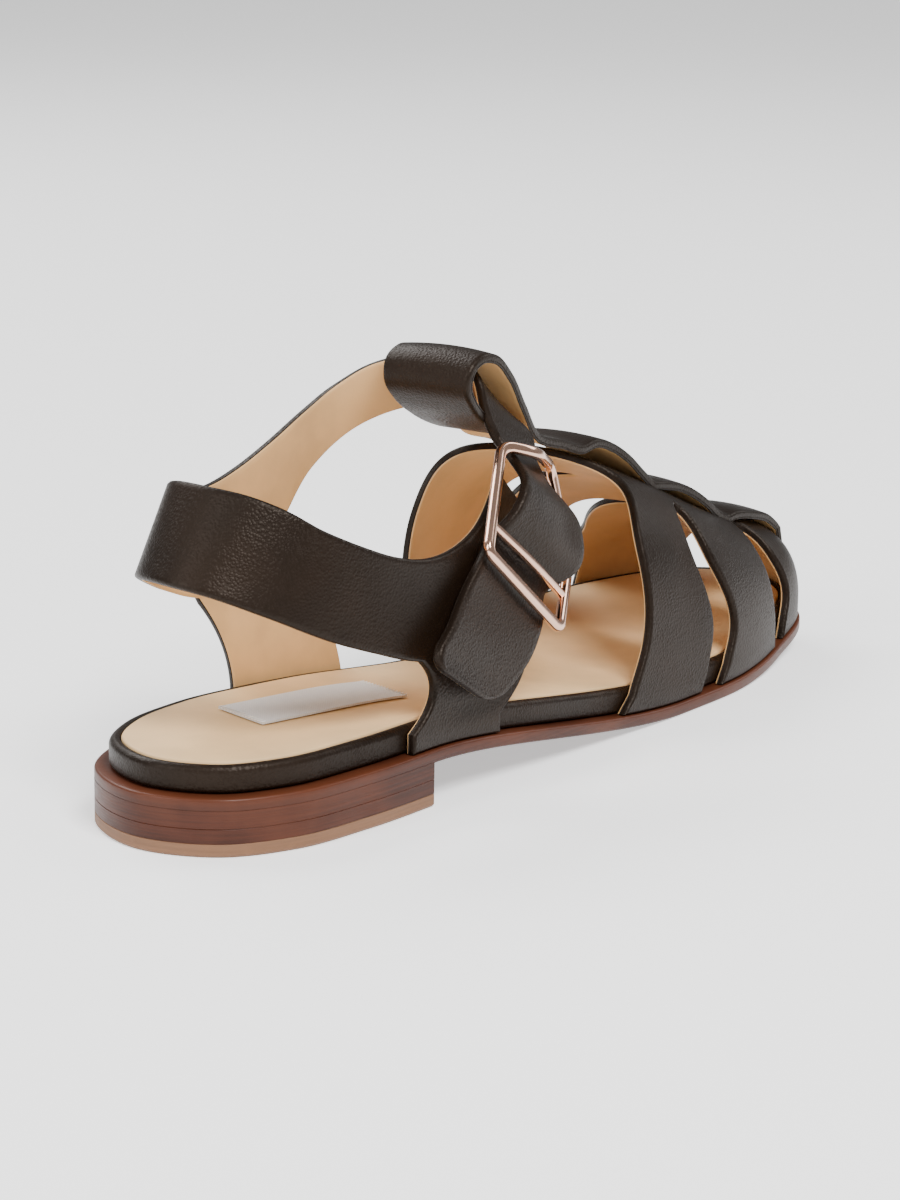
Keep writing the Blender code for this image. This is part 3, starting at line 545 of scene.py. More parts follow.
def last_at(x, turn, side):
    """Point on the last at X. turn runs from 0 at the foot to 1 at the crown; side is 0 outer, 1 inner."""
    x = np.atleast_1d(x)
    angle = np.asarray(turn) * pi / 2
    power = 2 / SECTION_POWER
    across = crown_across(x)
    edge = side_at(LAST_SIDES[side], x)
    base = turn_in(x)
    y = across + (edge - across) * np.abs(np.cos(angle)) ** power + overhang(x, side) * np.sin(2 * angle)
    z = base + (crown_height(x) - base) * np.abs(np.sin(angle)) ** power
    return np.column_stack([x, y, z])


def last_over(x, y):
    """Height of the last over the points (x, y), and 0 to 1 for how far out they lie."""
    across = crown_across(x)
    edge = np.where(y < across, side_at(LAST_SIDES[0], x), side_at(LAST_SIDES[1], x))
    out = np.clip(np.abs((y - across) / (edge - across)), 0.0, 1.0)
    base = turn_in(x)
    rise = (1 - out**SECTION_POWER) ** (1 / SECTION_POWER)
    return base + (crown_height(x) - base) * rise


def strap_edge(edge, side, up, sign):
    """X of one edge of a strap or gap on the given side, at each share of the way up to the crown."""
    places = (*edge["outer" if side == 0 else "inner"], edge["crown"])
    line = hermite(UP_STRAP, np.array(places) * LENGTH, up)
    if "width" not in edge:
        return line
    widths = (*edge["width"], edge["width"][-1], edge["width"][-1])
    half = hermite(UP_STRAP, np.array(widths) * LENGTH, up)
    open_share = np.clip(1 - (up / edge["close"][side]) ** 4, 0.0, 1.0)
    return line + sign * half * np.sqrt(open_share)


class Sheet:
    """A leather sheet of four-sided cells, laid up from a lining and an outer leather."""

    def __init__(self):
        self.points = []
        self.places = {}
        self.cells = []
        self.inked = set()

    def corner(self, point):
        """Number of the corner at a point, the same one where two grids meet."""
        key = tuple(int(round(value * 1e7)) for value in point)
        if key not in self.places:
            self.places[key] = len(self.points)
            self.points.append(np.array(point, float))
        return self.places[key]

    def add_grid(self, grid):
        """Add a grid of points. Its first direction crossed with its second points outwards."""
        rows = [[self.corner(point) for point in row] for row in grid]
        for low, high in zip(rows, rows[1:]):
            for i in range(len(low) - 1):
                cell = [low[i], high[i], high[i + 1], low[i + 1]]
                cell = [c for n, c in enumerate(cell) if c not in cell[:n]]
                if len(cell) > 2:
                    self.cells.append(tuple(cell))

    def normals(self, points):
        """Outward normal at every corner."""
        normals = np.zeros_like(points)
        for cell in self.cells:
            corners = points[list(cell)]
            normal = np.cross(corners[2] - corners[0], corners[-1] - corners[1])
            for place in cell:
                normals[place] += normal
        return normals / np.linalg.norm(normals, axis=1)[:, None]

    def rim(self, points):
        """Open edges of the sheet, and at each corner on them the way into the sheet."""
        edges = {}
        for cell in self.cells:
            for a, b in zip(cell, cell[1:] + cell[:1]):
                edges[(a, b)] = cell
        open_edges = [edge for edge in edges if edge[::-1] not in edges]
        inward = np.zeros_like(points)
        for a, b in open_edges:
            run = points[b] - points[a]
            into = points[list(edges[(a, b)])].mean(axis=0) - points[a]
            into = into - run * (into @ run) / (run @ run)
            into /= np.linalg.norm(into)
            inward[a] += into
            inward[b] += into
        length = np.linalg.norm(inward, axis=1)
        inward[length > 0] /= length[length > 0][:, None]
        return open_edges, inward

    def laid_up(self, wall, relief=None):
        """Vertices, faces, material places and rim values of the sheet.

        relief gives how far corners move along their normals: it takes the points.
        """
        points = np.array(self.points)
        normals = self.normals(points)
        open_edges, inward = self.rim(points)
        if relief is not None:
            points = points + normals * relief(points)[:, None]
        count = len(points)
        rings = np.array([points + normals * wall * layer[0] + inward * layer[1] for layer in EDGE_LAYERS])
        rings[:, :, 2] = np.maximum(rings[:, :, 2], foot_height(rings[:, :, 0]))
        top = (len(EDGE_LAYERS) - 1) * count
        faces = [cell[::-1] for cell in self.cells]
        slots = [LINING_SLOT] * len(faces)
        faces += [tuple(place + top for place in cell) for cell in self.cells]
        slots += [LEATHER_SLOT] * len(self.cells)
        for a, b in open_edges:
            for level in range(len(EDGE_LAYERS) - 1):
                low = level * count
                faces.append((a + low, b + low, b + low + count, a + low + count))
                stained = a in self.inked and b in self.inked
                slots.append(LEATHER_SLOT if stained else EDGE_LAYERS[level + 1][2])
        on_rim = (np.linalg.norm(inward, axis=1) > 0).astype(float)
        return rings.reshape(-1, 3), faces, slots, np.tile(on_rim, len(EDGE_LAYERS))


def crease_relief(points):
    """Height of the listed creases at each point."""
    height = np.zeros(len(points))
    for start, end, half, rise in CREASES:
        run = np.array(end) - start
        t = np.clip((points - start) @ run / (run @ run), 0.0, 1.0)
        away = np.linalg.norm(points - start - t[:, None] * run, axis=1)
        fade = CREASE_ENDS + (1 - CREASE_ENDS) * np.sin(pi * np.clip(t, 0.05, 0.95))
        height += rise * fade * np.exp(-(away / half) ** 2)
    return height


class Value:
    """A number or colour on its way through a material's nodes."""

    def __init__(self, finish, socket):
        self.finish = finish
        self.socket = socket

    def combine(self, operation, first, second):
        return self.finish.node("ShaderNodeMath", {"operation": operation}, {0: first, 1: second})

    def __add__(self, other):
        return self.combine("ADD", self, other)

    __radd__ = __add__

    def __rsub__(self, other):
        return self.combine("SUBTRACT", other, self)

    def __mul__(self, other):
        return self.combine("MULTIPLY", self, other)

    def __pow__(self, other):
        return self.combine("POWER", self, other)


class Finish:
    """A Principled material together with the nodes that vary it over the surface."""

    def __init__(self, name, colour, roughness, metallic=0.0):
        self.material = bpy.data.materials.new(name)
        self.material.use_nodes = True
        self.tree = self.material.node_tree
        self.shader = self.tree.nodes["Principled BSDF"]
        self.set("Base Color", colour)
        self.set("Roughness", roughness)
        self.set("Metallic", metallic)

    def put(self, socket, value):
        """Link a value to a socket, or set a plain number, colour or vector on it."""
        if isinstance(value, Value):
            self.tree.links.new(value.socket, socket)
        elif isinstance(value, (tuple, list)):
            size = len(socket.default_value)
            socket.default_value = (*value, 1.0)[:size] if len(value) < size else value[:size]
        else:
            socket.default_value = value

    def set(self, name, value):
        self.put(self.shader.inputs[name], value)

    def node(self, kind, settings=None, inputs=None, output=0):
        """Add a node: its settings first, then the values or links of its sockets."""
        node = self.tree.nodes.new(kind)
        for key, value in (settings or {}).items():
            setattr(node, key, value)
        for key, value in (inputs or {}).items():
            self.put(node.inputs[key], value)
        return Value(self, node.outputs[output])

    def place(self):
        """Object coordinates."""
        return self.node("ShaderNodeTexCoord", output="Object")

    def scaled(self, place, scale):
        """Coordinates stretched by a scale along X, Y and Z."""
        return self.node("ShaderNodeMapping", {}, {"Vector": place, "Scale": scale})

    def noise(self, place, scale, detail=3.0, roughness=0.5):
        inputs = {"Vector": place, "Scale": scale, "Detail": detail, "Roughness": roughness}
        return self.node("ShaderNodeTexNoise", {}, inputs)

    def cells(self, place, scale, feature="F1"):
        inputs = {"Vector": place, "Scale": scale}
        return self.node("ShaderNodeTexVoronoi", {"feature": feature}, inputs, "Distance")

    def between(self, value, low, high, to_low=0.0, to_high=1.0):
        """Remap a value smoothly from one range to another."""
        inputs = {"Value": value, "From Min": low, "From Max": high, "To Min": to_low, "To Max": to_high}
        return self.node("ShaderNodeMapRange", {"interpolation_type": "SMOOTHSTEP"}, inputs)

    def mix(self, factor, first, second):
        """Blend two colours."""
        return self.node("ShaderNodeMix", {"data_type": "RGBA"}, {0: factor, 6: first, 7: second}, 2)

    def attribute(self, name):
        return self.node("ShaderNodeAttribute", {"attribute_name": name}, {}, "Fac")

    def bump(self, height, distance, strength=1.0):
        """Raise the surface by a height of 0 to 1 times a distance."""
        inputs = {"Height": height, "Distance": distance, "Strength": strength}
        self.set("Normal", self.node("ShaderNodeBump", {}, inputs))


def toned(colour, factor):
    """A colour made darker or lighter by a factor."""
    return tuple(min(1.0, part * factor) for part in colour)


def upper_leather(colour):
    """Dark calf with a fine pebbled grain, duller in its pores and worn at the cut edges."""
    finish = Finish("strap_leather", colour, 0.42)
    place = finish.place()
    warp = finish.noise(place, CALF["warp"], 2.0)
    wander = {0: warp, 1: (CALF["wander"],) * 3, 2: place}
    moved = finish.node("ShaderNodeVectorMath", {"operation": "MULTIPLY_ADD"}, wander)
    pebbles = finish.cells(moved, CALF["pebbles"])
    fine = finish.noise(moved, CALF["fine"], 3.0)
    clouds = finish.noise(place, CALF["clouds"], 3.0)
    crisp = finish.between(finish.noise(place, CALF["crisp"], 2.0), 0.40, 0.64, 0.60, 1.0)
    grain = (1.0 - finish.between(pebbles, 0.05, 0.75)) * crisp + fine * 0.25
    tint = finish.mix(finish.between(clouds, 0.35, 0.68), toned(colour, 0.80), toned(colour, 1.22))
    tint = finish.mix(finish.attribute("rim") ** 6.0 * 0.35, tint, toned(colour, 0.55))
    finish.set("Base Color", tint)
    finish.set("Roughness", 0.38 + finish.between(grain, 0.3, 1.0) * 0.10 + clouds * 0.08)
    finish.bump(grain, CALF["height"], 0.75)
    finish.set("Specular IOR Level", 0.22)
    finish.set("Specular Tint", (1.0, 0.86, 0.74))
    return finish.material


def bond_line():
    """Dark glue line between leather and lining."""
    return Finish("bond_line", (0.02, 0.012, 0.008), 0.7).material


def lining_leather(name, colour, shade):
    """Smooth tan lining with faint pores and a cloudy tint."""
    finish = Finish(name, colour, 0.55)
    place = finish.place()
    clouds = finish.noise(place, LINING["clouds"], 4.0)
    pores = finish.cells(place, LINING["pores"])
    fine = finish.noise(place, LINING["fine"], 3.0)
    finish.set("Base Color", finish.mix(finish.between(clouds, 0.30, 0.72), colour, toned(colour, shade)))
    finish.set("Roughness", 0.50 + fine * 0.14)
    finish.bump(finish.between(pores, 0.0, 0.35) * 0.4 + fine * 0.6, LINING["height"], 0.6)
    return finish.material


def sole_leather(colour, light):
    """Polished leather edge: fine layers along it, stained, and a painted highlight on its upper edge."""
    finish = Finish("sole_leather", colour, 0.36)
    place = finish.place()
    layers = finish.noise(finish.scaled(place, SOLE_EDGE["layers"]), 1.0, 4.0, 0.6)
    fibres = finish.noise(finish.scaled(place, SOLE_EDGE["fibres"]), 1.0, 3.0, 0.6)
    stain = finish.noise(place, SOLE_EDGE["stain"], 3.0)
    tint = finish.mix(finish.between(layers, 0.34, 0.64), toned(colour, 0.62), colour)
    tint = finish.mix(finish.between(stain, 0.35, 0.70) * 0.45, tint, light)
    # Painted highlight: the lit attribute pulls the rounded top of the outsole's edge towards the light
    # colour
    tint = finish.mix(finish.attribute("lit") * 0.55, tint, light)
    finish.set("Base Color", tint)
    finish.set("Roughness", 0.30 + fibres * 0.20)
    finish.bump(layers * 0.7 + fibres * 0.3, SOLE_EDGE["height"], 0.7)
    finish.set("Specular IOR Level", 0.25)
    return finish.material


def top_lift_finish(colour):
    """Tan top lift with a matt, slightly scuffed edge."""
    finish = Finish("top_lift", colour, 0.55)
    place = finish.place()
    layers = finish.noise(finish.scaled(place, TOP_LIFT_EDGE["layers"]), 1.0, 4.0, 0.6)
    scuffs = finish.noise(place, TOP_LIFT_EDGE["scuffs"], 5.0, 0.6)
    tint = finish.mix(finish.between(layers, 0.35, 0.65) * 0.6, colour, toned(colour, 0.72))
    tint = finish.mix(finish.between(scuffs, 0.55, 0.75) * 0.4, tint, toned(colour, 1.25))
    finish.set("Base Color", tint)
    finish.set("Roughness", 0.50 + scuffs * 0.20)
    finish.bump(layers * 0.5 + scuffs * 0.5, TOP_LIFT_EDGE["height"], 0.6)
    return finish.material


def label_cloth(colour):
    """White woven tape: over-and-under threads along and across."""
    finish = Finish("label_cloth", colour, 0.85)
    split = finish.tree.nodes.new("ShaderNodeSeparateXYZ")
    finish.put(split.inputs[0], finish.node("ShaderNodeUVMap", {"uv_map": "weave"}))
    waves = []
    for output, count in zip(split.outputs, (WEAVE["along"], WEAVE["across"])):
        waves.append(finish.node("ShaderNodeMath", {"operation": "SINE"}, {0: Value(finish, output) * count}))
    threads = waves[0] * waves[1] * 0.5 + 0.5
    clouds = finish.noise(finish.place(), WEAVE["clouds"], 4.0)
    finish.set("Base Color", finish.mix(threads * 0.5 + clouds * 0.3, toned(colour, 0.80), colour))
    finish.bump(threads, WEAVE["height"], 0.8)
    finish.set("Sheen Weight", 0.3)
    return finish.material


def polished_metal(colour):
    """Rose gold plating with the faintest unevenness in its polish."""
    finish = Finish("rose_gold", colour, 0.14, 1.0)
    place = finish.place()
    smears = finish.noise(place, POLISH["smears"], 3.0)
    finish.set("Roughness", 0.09 + smears * 0.12)
    finish.bump(finish.noise(place, POLISH["waves"], 2.0), POLISH["height"], 0.4)
    return finish.material


def link_to_scene(name, data):
    """A new object in the scene."""
    item = bpy.data.objects.new(name, data)
    bpy.context.scene.collection.objects.link(item)
    return item


def new_piece(name, vertices, faces, materials, slots=None, values=None, sharp=40.0):
    """A mesh piece at its place in the shoe, smooth but for its real edges."""
    mesh = bpy.data.meshes.new(name)
    placed = np.asarray(vertices, float) - SHIFT
    mesh.from_pydata(placed.tolist(), [], [list(face) for face in faces])
    for finish in materials:
        mesh.materials.append(finish)
    if slots is not None:
        mesh.polygons.foreach_set("material_index", slots)
    for key, value in (values or {}).items():
        layer = mesh.attributes.new(key, "FLOAT", "POINT")
        layer.data.foreach_set("value", np.asarray(value, float))
    mesh.update()
    mesh.shade_smooth()
    mesh.set_sharp_from_angle(angle=radians(sharp))
    return link_to_scene(name, mesh)


def settle(item, node):
    """Fix a finished piece to the shoe in place of its plain solid."""
    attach(item, "root")
    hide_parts(node)


def finishes():
    """The three leathers of a strap: outer, lining and the bond between them."""
    settings = bpy.context.scene.sandal
    made = bpy.data.materials
    outer = made.get("strap_leather") or upper_leather(tuple(settings.leather))
    lining = made.get("strap_lining") or lining_leather("strap_lining", tuple(settings.lining), 0.80)
    bond = made.get("bond_line") or bond_line()
    return outer, lining, bond


def build_cross_straps():
    """The three cross straps, joined under the spine."""
    sheet = Sheet()
    turn = 1 - (1 - np.linspace(0.0, 1.0, STRAP_ROWS)) ** ROW_CROWDING
    up = np.append(0.0, TURN_IN + (1 - TURN_IN) * turn)
    for number, columns in enumerate(STRAP_COLUMNS):
        back = STRAP_EDGES[number]
        front = STRAP_EDGES[number + 1]
        edges = [(strap_edge(back, side, up, 1), strap_edge(front, side, up, -1)) for side in (0, 1)]
        grid = []
        for share in np.linspace(0.0, 1.0, columns + 1):
            column = []
            for side, (start, end) in enumerate(edges):
                x = start + (end - start) * share
                foot = last_at(x[0], 0.0, side)
                foot[:, 2] = foot_height(x[0])
                points = np.vstack([foot, last_at(x[1:], turn, side)])
                column.append(points if side == 0 else points[::-1][1:])
            grid.append(np.vstack(column))
        sheet.add_grid(grid)
    vertices, faces, slots, rim = sheet.laid_up(WALL, crease_relief)
    return new_piece("cross_straps", vertices, faces, finishes(), slots, {"rim": rim})


def toe_rows():
    """Rows of the spine over the toe, from the foot of its tip back to the first row of its table."""
    half = SPINE_WIDTH / 2 * SPINE[0]["width"]
    middle = SPINE[0]["across"] * BALL_WIDTH
    back = SPINE[0]["along"] * LENGTH
    y = middle + np.linspace(half, -half, SPINE_COLUMNS + 1)
    tip = np.vstack([LAST_SIDES[0][-NOSE_POINTS:], LAST_SIDES[1][::-1][1:NOSE_POINTS]])
    nose = np.interp(y, tip[:, 1], tip[:, 0])
    rows = [np.column_stack([nose, y, foot_height(nose)])]
    for step in range(TOE_ROWS):
        turn = step / TOE_ROWS
        x = back + (nose - back) * np.sqrt(1 - turn**2)
        rows.append(np.column_stack([x, y, last_over(x, y) + SPINE_SEAT * turn]))
    return rows


def build_spine():
    """The centre strap, from the toe tip over the cross straps and round its loop."""
    table = np.array([[row["along"] * LENGTH, row["across"] * BALL_WIDTH, row["height"] * INSTEP_HEIGHT,
                       row["width"] * SPINE_WIDTH / 2, row["camber"] * SPINE_WIDTH] for row in SPINE])
    grid = toe_rows()
    for x, y, z, half, drop in path_through(table, SPINE_STEPS, chord_lengths(table[:, :3])):
        offsets = np.linspace(1.0, -1.0, SPINE_COLUMNS + 1)
        grid.append(np.column_stack([np.full(len(offsets), x), y + offsets * half, z - drop * offsets**2]))
    sheet = Sheet()
    sheet.add_grid(grid)
    sheet.inked.update(range(len(sheet.points)))
    vertices, faces, slots, rim = sheet.laid_up(WALL, crease_relief)
    return new_piece("centre_strap", vertices, faces, finishes(), slots, {"rim": rim})


def band_edges():
    """Low and top edge of the band at every section, smooth along the band."""
    low = np.array([row[1] for row in BAND]) * SIZES
    top = np.array([row[2] for row in BAND]) * SIZES
    smooth = path_through(np.hstack([low, top]), BAND_STEPS, chord_lengths((low + top) / 2))
    return smooth[:, :3], smooth[:, 3:]


def rounded_end(grid, radius):
    """The rows of a strap with the corners of its last row rounded off."""
    rows = np.array(grid)
    middle = rows.mean(axis=1)
    to_end = np.cumsum(np.linalg.norm(np.diff(middle[::-1], axis=0), axis=1))
    kept = len(rows) - 1 - int(np.searchsorted(to_end, radius))
    start = rows[kept - 1]
    end = rows[-1]
    reach = np.linalg.norm(end.mean(axis=0) - start.mean(axis=0))
    result = list(rows[:kept])
    width = np.linalg.norm(end[-1] - end[0])
    for angle in np.linspace(0.0, pi / 2, FREE_END_ROWS)[1:]:
        row = start + (end - start) * sin(angle)
        inset = min(reach, radius) * (1 - cos(angle)) / width
        centre = row.mean(axis=0)
        result.append(centre + (row - centre) * (1 - 2 * inset))
    return result


def build_band():
    """Heel strap, quarters and ankle strap, with the two legs down to the sole."""
    low, top = band_edges()
    sheet = Sheet()
    shares = np.linspace(0.0, 1.0, BAND_COLUMNS + 1)[:, None]
    grid = [low[i] + (top[i] - low[i]) * shares for i in range(len(low))]
    grid = rounded_end(grid, FREE_END_ROUND)
    sheet.add_grid([row[::-1] for row in grid])
    for row in grid[STAINED_FROM * BAND_STEPS:]:
        sheet.inked.update(sheet.corner(point) for point in row)
    for leg in LEGS:
        side = 0 if leg["side"] == "outer" else 1
        first = leg["rows"][0] * BAND_STEPS
        last = leg["rows"][1] * BAND_STEPS
        share = np.linspace(leg["feet"][0], leg["feet"][1], last - first + 1)
        foot = along_side(LAST_SIDES[side], share)
        columns = []
        for i, (x, y) in zip(range(first, last + 1), foot):
            start = np.array([x, y, turn_in(x)])
            end = low[i]
            knee = start + (end - start) * LEG_KNEE + (leg["bow"] * LENGTH, 0.0, 0.0)
            columns.append(np.vstack([(x, y, foot_height(x)), bend_between(start, knee, end, LEG_ROWS + 1)]))
        sheet.add_grid([column[::-1] for column in columns])
    vertices, faces, slots, rim = sheet.laid_up(WALL, crease_relief)
    return new_piece("heel_and_ankle_strap", vertices, faces, finishes(), slots, {"rim": rim})


def ring_faces(count, size, closed=False):
    """Faces between rings of corners, and from the last ring to the first if closed."""
    faces = []
    for i in range(count if closed else count - 1):
        low = i * size
        high = (i + 1) % count * size
        for j in range(size):
            k = (j + 1) % size
            faces.append((low + j, low + k, high + k, high + j))
    return faces


def stacked_rings(rings, count):
    """Closed solid from rings, lowest first, with caps made of strips across the shoe."""
    size = len(rings[0])
    faces = ring_faces(len(rings), size)
    top = (len(rings) - 1) * size
    for i in range(count - 1):
        strip = [i, i + 1, (size - i - 1) % size, (size - i) % size]
        strip = [place for n, place in enumerate(strip) if place not in strip[:n]]
        faces.append(tuple(top + place for place in strip))
        faces.append(tuple(strip[::-1]))
    return np.vstack(rings), faces


def sole_piece(name, levels, finish, reach=None):
    """A layer of the sole. Each level is a drawn-in distance, a height function and how much painted
    highlight its edge takes.
    """
    rings = [ring_at(level[0], level[1], SOLE_STATIONS, reach) for level in levels]
    vertices, faces = stacked_rings(rings, SOLE_STATIONS)
    lit = np.repeat([level[2] for level in levels], len(rings[0]))
    return new_piece(name, vertices, faces, [finish], None, {"lit": lit})


def rounded(base, inset, radius, steps, downwards=False):
    """Levels that round an edge off: base is the height of the flat that the edge ends in."""
    levels = []
    for step in range(steps + 1):
        angle = pi / 2 * step / steps
        if downwards:
            levels.append((inset + radius * (1 - sin(angle)), raised(base, radius * (1 - cos(angle))), 0.0))
        else:
            levels.append((inset + radius * (1 - cos(angle)), raised(base, radius * (sin(angle) - 1)), 0.0))
    return levels


def lift_levels(low, high, low_ease, high_ease):
    """Levels of a lift of the heel between two heights, with both its edges eased."""
    return [(low_ease, flat(low), 0.0), (0.0, flat(low + low_ease), 0.0),
            (0.0, flat(high - high_ease), 0.0), (high_ease, flat(high), 0.0)]


def build_sole():
    """Outsole, the lifts of the heel and the wrapped board."""
    settings = bpy.context.scene.sandal
    leather = sole_leather(tuple(settings.sole), tuple(settings.sole_light))
    tan = top_lift_finish(tuple(settings.top_lift))
    levels = lift_levels(0.0, TOP_LIFT, SOLE_ROUND, LIFT_EASE)
    settle(sole_piece("top_lift", levels, tan, HEEL_LENGTH), "heel_top_lift")
    floor = TOP_LIFT
    for name in HEEL_LIFTS:
        top = floor + GAP + HEEL_LIFT
        levels = lift_levels(floor, top, LIFT_EASE, LIFT_EASE)
        if name == HEEL_LIFTS[-1]:
            levels[2:] = [(0.0, flat(top + GAP + LIFT_SEAT), 0.0)]
        lift = sole_piece(name.replace("heel_", "leather_"), levels, leather, HEEL_LENGTH)
        settle(lift, name)
        floor = top
    levels = rounded(underside, 0.0, SOLE_ROUND, 3, True)
    top = rounded(outsole_top, 0.0, SOLE_ROUND, 4)
    # Painted highlight: the outsole's top round grows lighter towards its top, then fades out a little way in
    # on its top face
    levels += [(*level[:2], EDGE_HIGHLIGHT_START + (1 - EDGE_HIGHLIGHT_START) * n / len(top)) for n, level in enumerate(top)]
    levels += [(SOLE_ROUND + inset, outsole_top, highlight) for inset, highlight in EDGE_HIGHLIGHT]
    settle(sole_piece("leather_outsole", levels, leather), "outsole")
    recess = LEDGE + INSOLE_MARGIN
    levels = rounded(raised(outsole_top, GAP), LEDGE, BOARD_FOOT_ROUND, 5, True)
    levels += rounded(board_top, LEDGE, BOARD_ROUND, 8)
    levels.append((recess, raised(board_top, -RECESS_DROP), 0.0))
    levels.append((recess + RECESS_STEP, raised(board_top, -INSOLE), 0.0))
    settle(sole_piece("wrapped_board", levels, finishes()[0]), "footbed_board")


def build_footbed():
    """Insole sock and its woven label with the stitches that hold it."""
    settings = bpy.context.scene.sandal
    sock = lining_leather("insole_leather", tuple(settings.insole), 0.86)
    side = LEDGE + INSOLE_MARGIN + GAP
    levels = [(side, raised(insole_top, -INSOLE), 0.0)]
    levels += rounded(insole_top, side, INSOLE_ROUND, 4)
    settle(sole_piece("insole_sock", levels, sock), "insole")
    settle(build_label(), "insole_label")
    settle(build_label_stitches(settings.stitch_length, settings.stitch_pitch), "insole_label")


def label_axes():
    """Middle of the label and its directions along and across."""
    middle = np.array([LABEL_PLACE * LENGTH, LABEL_ACROSS * BALL_WIDTH])
    run = np.array([np.cos(LABEL_TURN), np.sin(LABEL_TURN)])
    return middle, run, np.array([-run[1], run[0]])


def build_label():
    """Blank woven tape, slightly puckered between its sewn ends."""
    middle, run, cross = label_axes()
    columns, rows = LABEL_CELLS
    vertices = []
    weave = []
    for top in (0, 1):
        for i in range(columns + 1):
            for j in range(rows + 1):
                along = i / columns - 0.5
                across = j / rows - 0.5
                point = middle + run * along * LABEL_LENGTH + cross * across * LABEL_WIDTH
                wave = PUCKER_EVEN + (1 - PUCKER_EVEN) * cos(across * PUCKER_WAVE)
                pucker = PUCKER * (1 - (2 * along) ** 2) * wave
                height = insole_top(point[0]) + GAP + top * LABEL_THICKNESS + pucker
                vertices.append((*point, height))
                weave.append((along * LABEL_LENGTH, across * LABEL_WIDTH))
    size = (columns + 1) * (rows + 1)
    faces = []
    for i in range(columns):
        for j in range(rows):
            a = i * (rows + 1) + j
            cell = (a, a + 1, a + rows + 2, a + rows + 1)
            faces.append(cell)
            faces.append(tuple(size + place for place in cell[::-1]))
    rim = [i * (rows + 1) for i in range(columns + 1)]
    rim += [columns * (rows + 1) + j for j in range(1, rows + 1)]
    rim += [i * (rows + 1) + rows for i in range(columns - 1, -1, -1)]
    rim += [j for j in range(rows - 1, 0, -1)]
    for a, b in zip(rim, rim[1:] + rim[:1]):
        faces.append((a, b, b + size, a + size))
    cloth = label_cloth(tuple(bpy.context.scene.sandal.label))
    item = new_piece("woven_label", vertices, faces, [cloth])
    layer = item.data.uv_layers.new(name="weave")
    for loop in item.data.loops:
        layer.data[loop.index].uv = weave[loop.vertex_index]
    return item


def stitch_tree(finish):
    """Geometry Nodes: a bar of thread at every step along a line."""
    tree = bpy.data.node_groups.new("label stitches", "GeometryNodeTree")
    face = tree.interface
    face.new_socket("Line", in_out="INPUT", socket_type="NodeSocketGeometry")
    for name in ("Pitch", "Length"):
        face.new_socket(name, in_out="INPUT", socket_type="NodeSocketFloat")
    face.new_socket("Stitches", in_out="OUTPUT", socket_type="NodeSocketGeometry")
    nodes = tree.nodes
    given = nodes.new("NodeGroupInput")
    result = nodes.new("NodeGroupOutput")
    curve = nodes.new("GeometryNodeMeshToCurve")
    points = nodes.new("GeometryNodeCurveToPoints")
    points.mode = "LENGTH"
    bar = nodes.new("GeometryNodeMeshCylinder")
    bar.inputs["Vertices"].default_value = STITCH_SIDES
    bar.inputs["Radius"].default_value = STITCH_RADIUS
    copies = nodes.new("GeometryNodeInstanceOnPoints")
    real = nodes.new("GeometryNodeRealizeInstances")
    paint = nodes.new("GeometryNodeSetMaterial")
    paint.inputs["Material"].default_value = finish
    turn = nodes.new("FunctionNodeRotateRotation")
    turn.rotation_space = "LOCAL"
    quarter = nodes.new("FunctionNodeEulerToRotation")
    quarter.inputs[0].default_value = (0.0, pi / 2, 0.0)
    for source, output, target, entry in (
            (given, "Line", curve, "Mesh"),
            (curve, "Curve", points, "Curve"),
            (given, "Pitch", points, "Length"),
            (given, "Length", bar, "Depth"),
            (points, "Rotation", turn, 0),
            (quarter, 0, turn, 1),
            (points, "Points", copies, "Points"),
            (bar, "Mesh", copies, "Instance"),
            (turn, 0, copies, "Rotation"),
            (copies, "Instances", real, "Geometry"),
            (real, "Geometry", paint, "Geometry"),
            (paint, "Geometry", result, "Stitches")):
        tree.links.new(source.outputs[output], target.inputs[entry])
    return tree


def build_label_stitches(length, pitch):
    """A row of small stitches over each short end of the label."""
    middle, run, cross = label_axes()
    vertices = []
    edges = []
    for end in (-0.5, 0.5):
        first = len(vertices)
        for share in np.linspace(-STITCH_REACH, STITCH_REACH, STITCHES):
            point = middle + run * end * (LABEL_LENGTH - 2 * STITCH_INSET) + cross * share * LABEL_WIDTH
            vertices.append((*point, insole_top(point[0]) + GAP + LABEL_THICKNESS + STITCH_RISE))
        edges += [(i, i + 1) for i in range(first, len(vertices) - 1)]
    mesh = bpy.data.meshes.new("stitch lines")
    mesh.from_pydata((np.array(vertices) - SHIFT).tolist(), edges, [])
    guide = link_to_scene("stitch lines", mesh)
    tree = stitch_tree(Finish("label_thread", THREAD_COLOUR, 0.7).material)
    modifier = guide.modifiers.new("stitches", "NODES")
    modifier.node_group = tree
    names = {item.name: item.identifier for item in tree.interface.items_tree if item.in_out == "INPUT"}
    modifier[names["Pitch"]] = pitch
    modifier[names["Length"]] = length
    evaluated = guide.evaluated_get(bpy.context.evaluated_depsgraph_get())
    plain = bpy.data.meshes.new_from_object(evaluated)
    plain.name = "label_stitches"
    item = link_to_scene("label_stitches", plain)
    bpy.data.objects.remove(guide)
    return item


def swept_bar(path, closed, section, outward):
    """A bar along a path. The section is across and out; outward is the way its face looks."""
    count = len(path)
    vertices = []
    for i in range(count):
        ahead = path[(i + 1) % count] if closed or i + 1 < count else path[i]
        behind = path[i - 1] if closed or i > 0 else path[i]
        tangent = (ahead - behind) / np.linalg.norm(ahead - behind)
        face = outward - tangent * (outward @ tangent)
        face /= np.linalg.norm(face)
        across = np.cross(tangent, face)
        vertices += [path[i] + across * a + face * b for a, b in section]
    size = len(section)
    faces = ring_faces(count, size, closed)
    if not closed:
        faces.append(tuple(range(size))[::-1])
        faces.append(tuple((count - 1) * size + j for j in range(size)))
    return np.array(vertices), faces


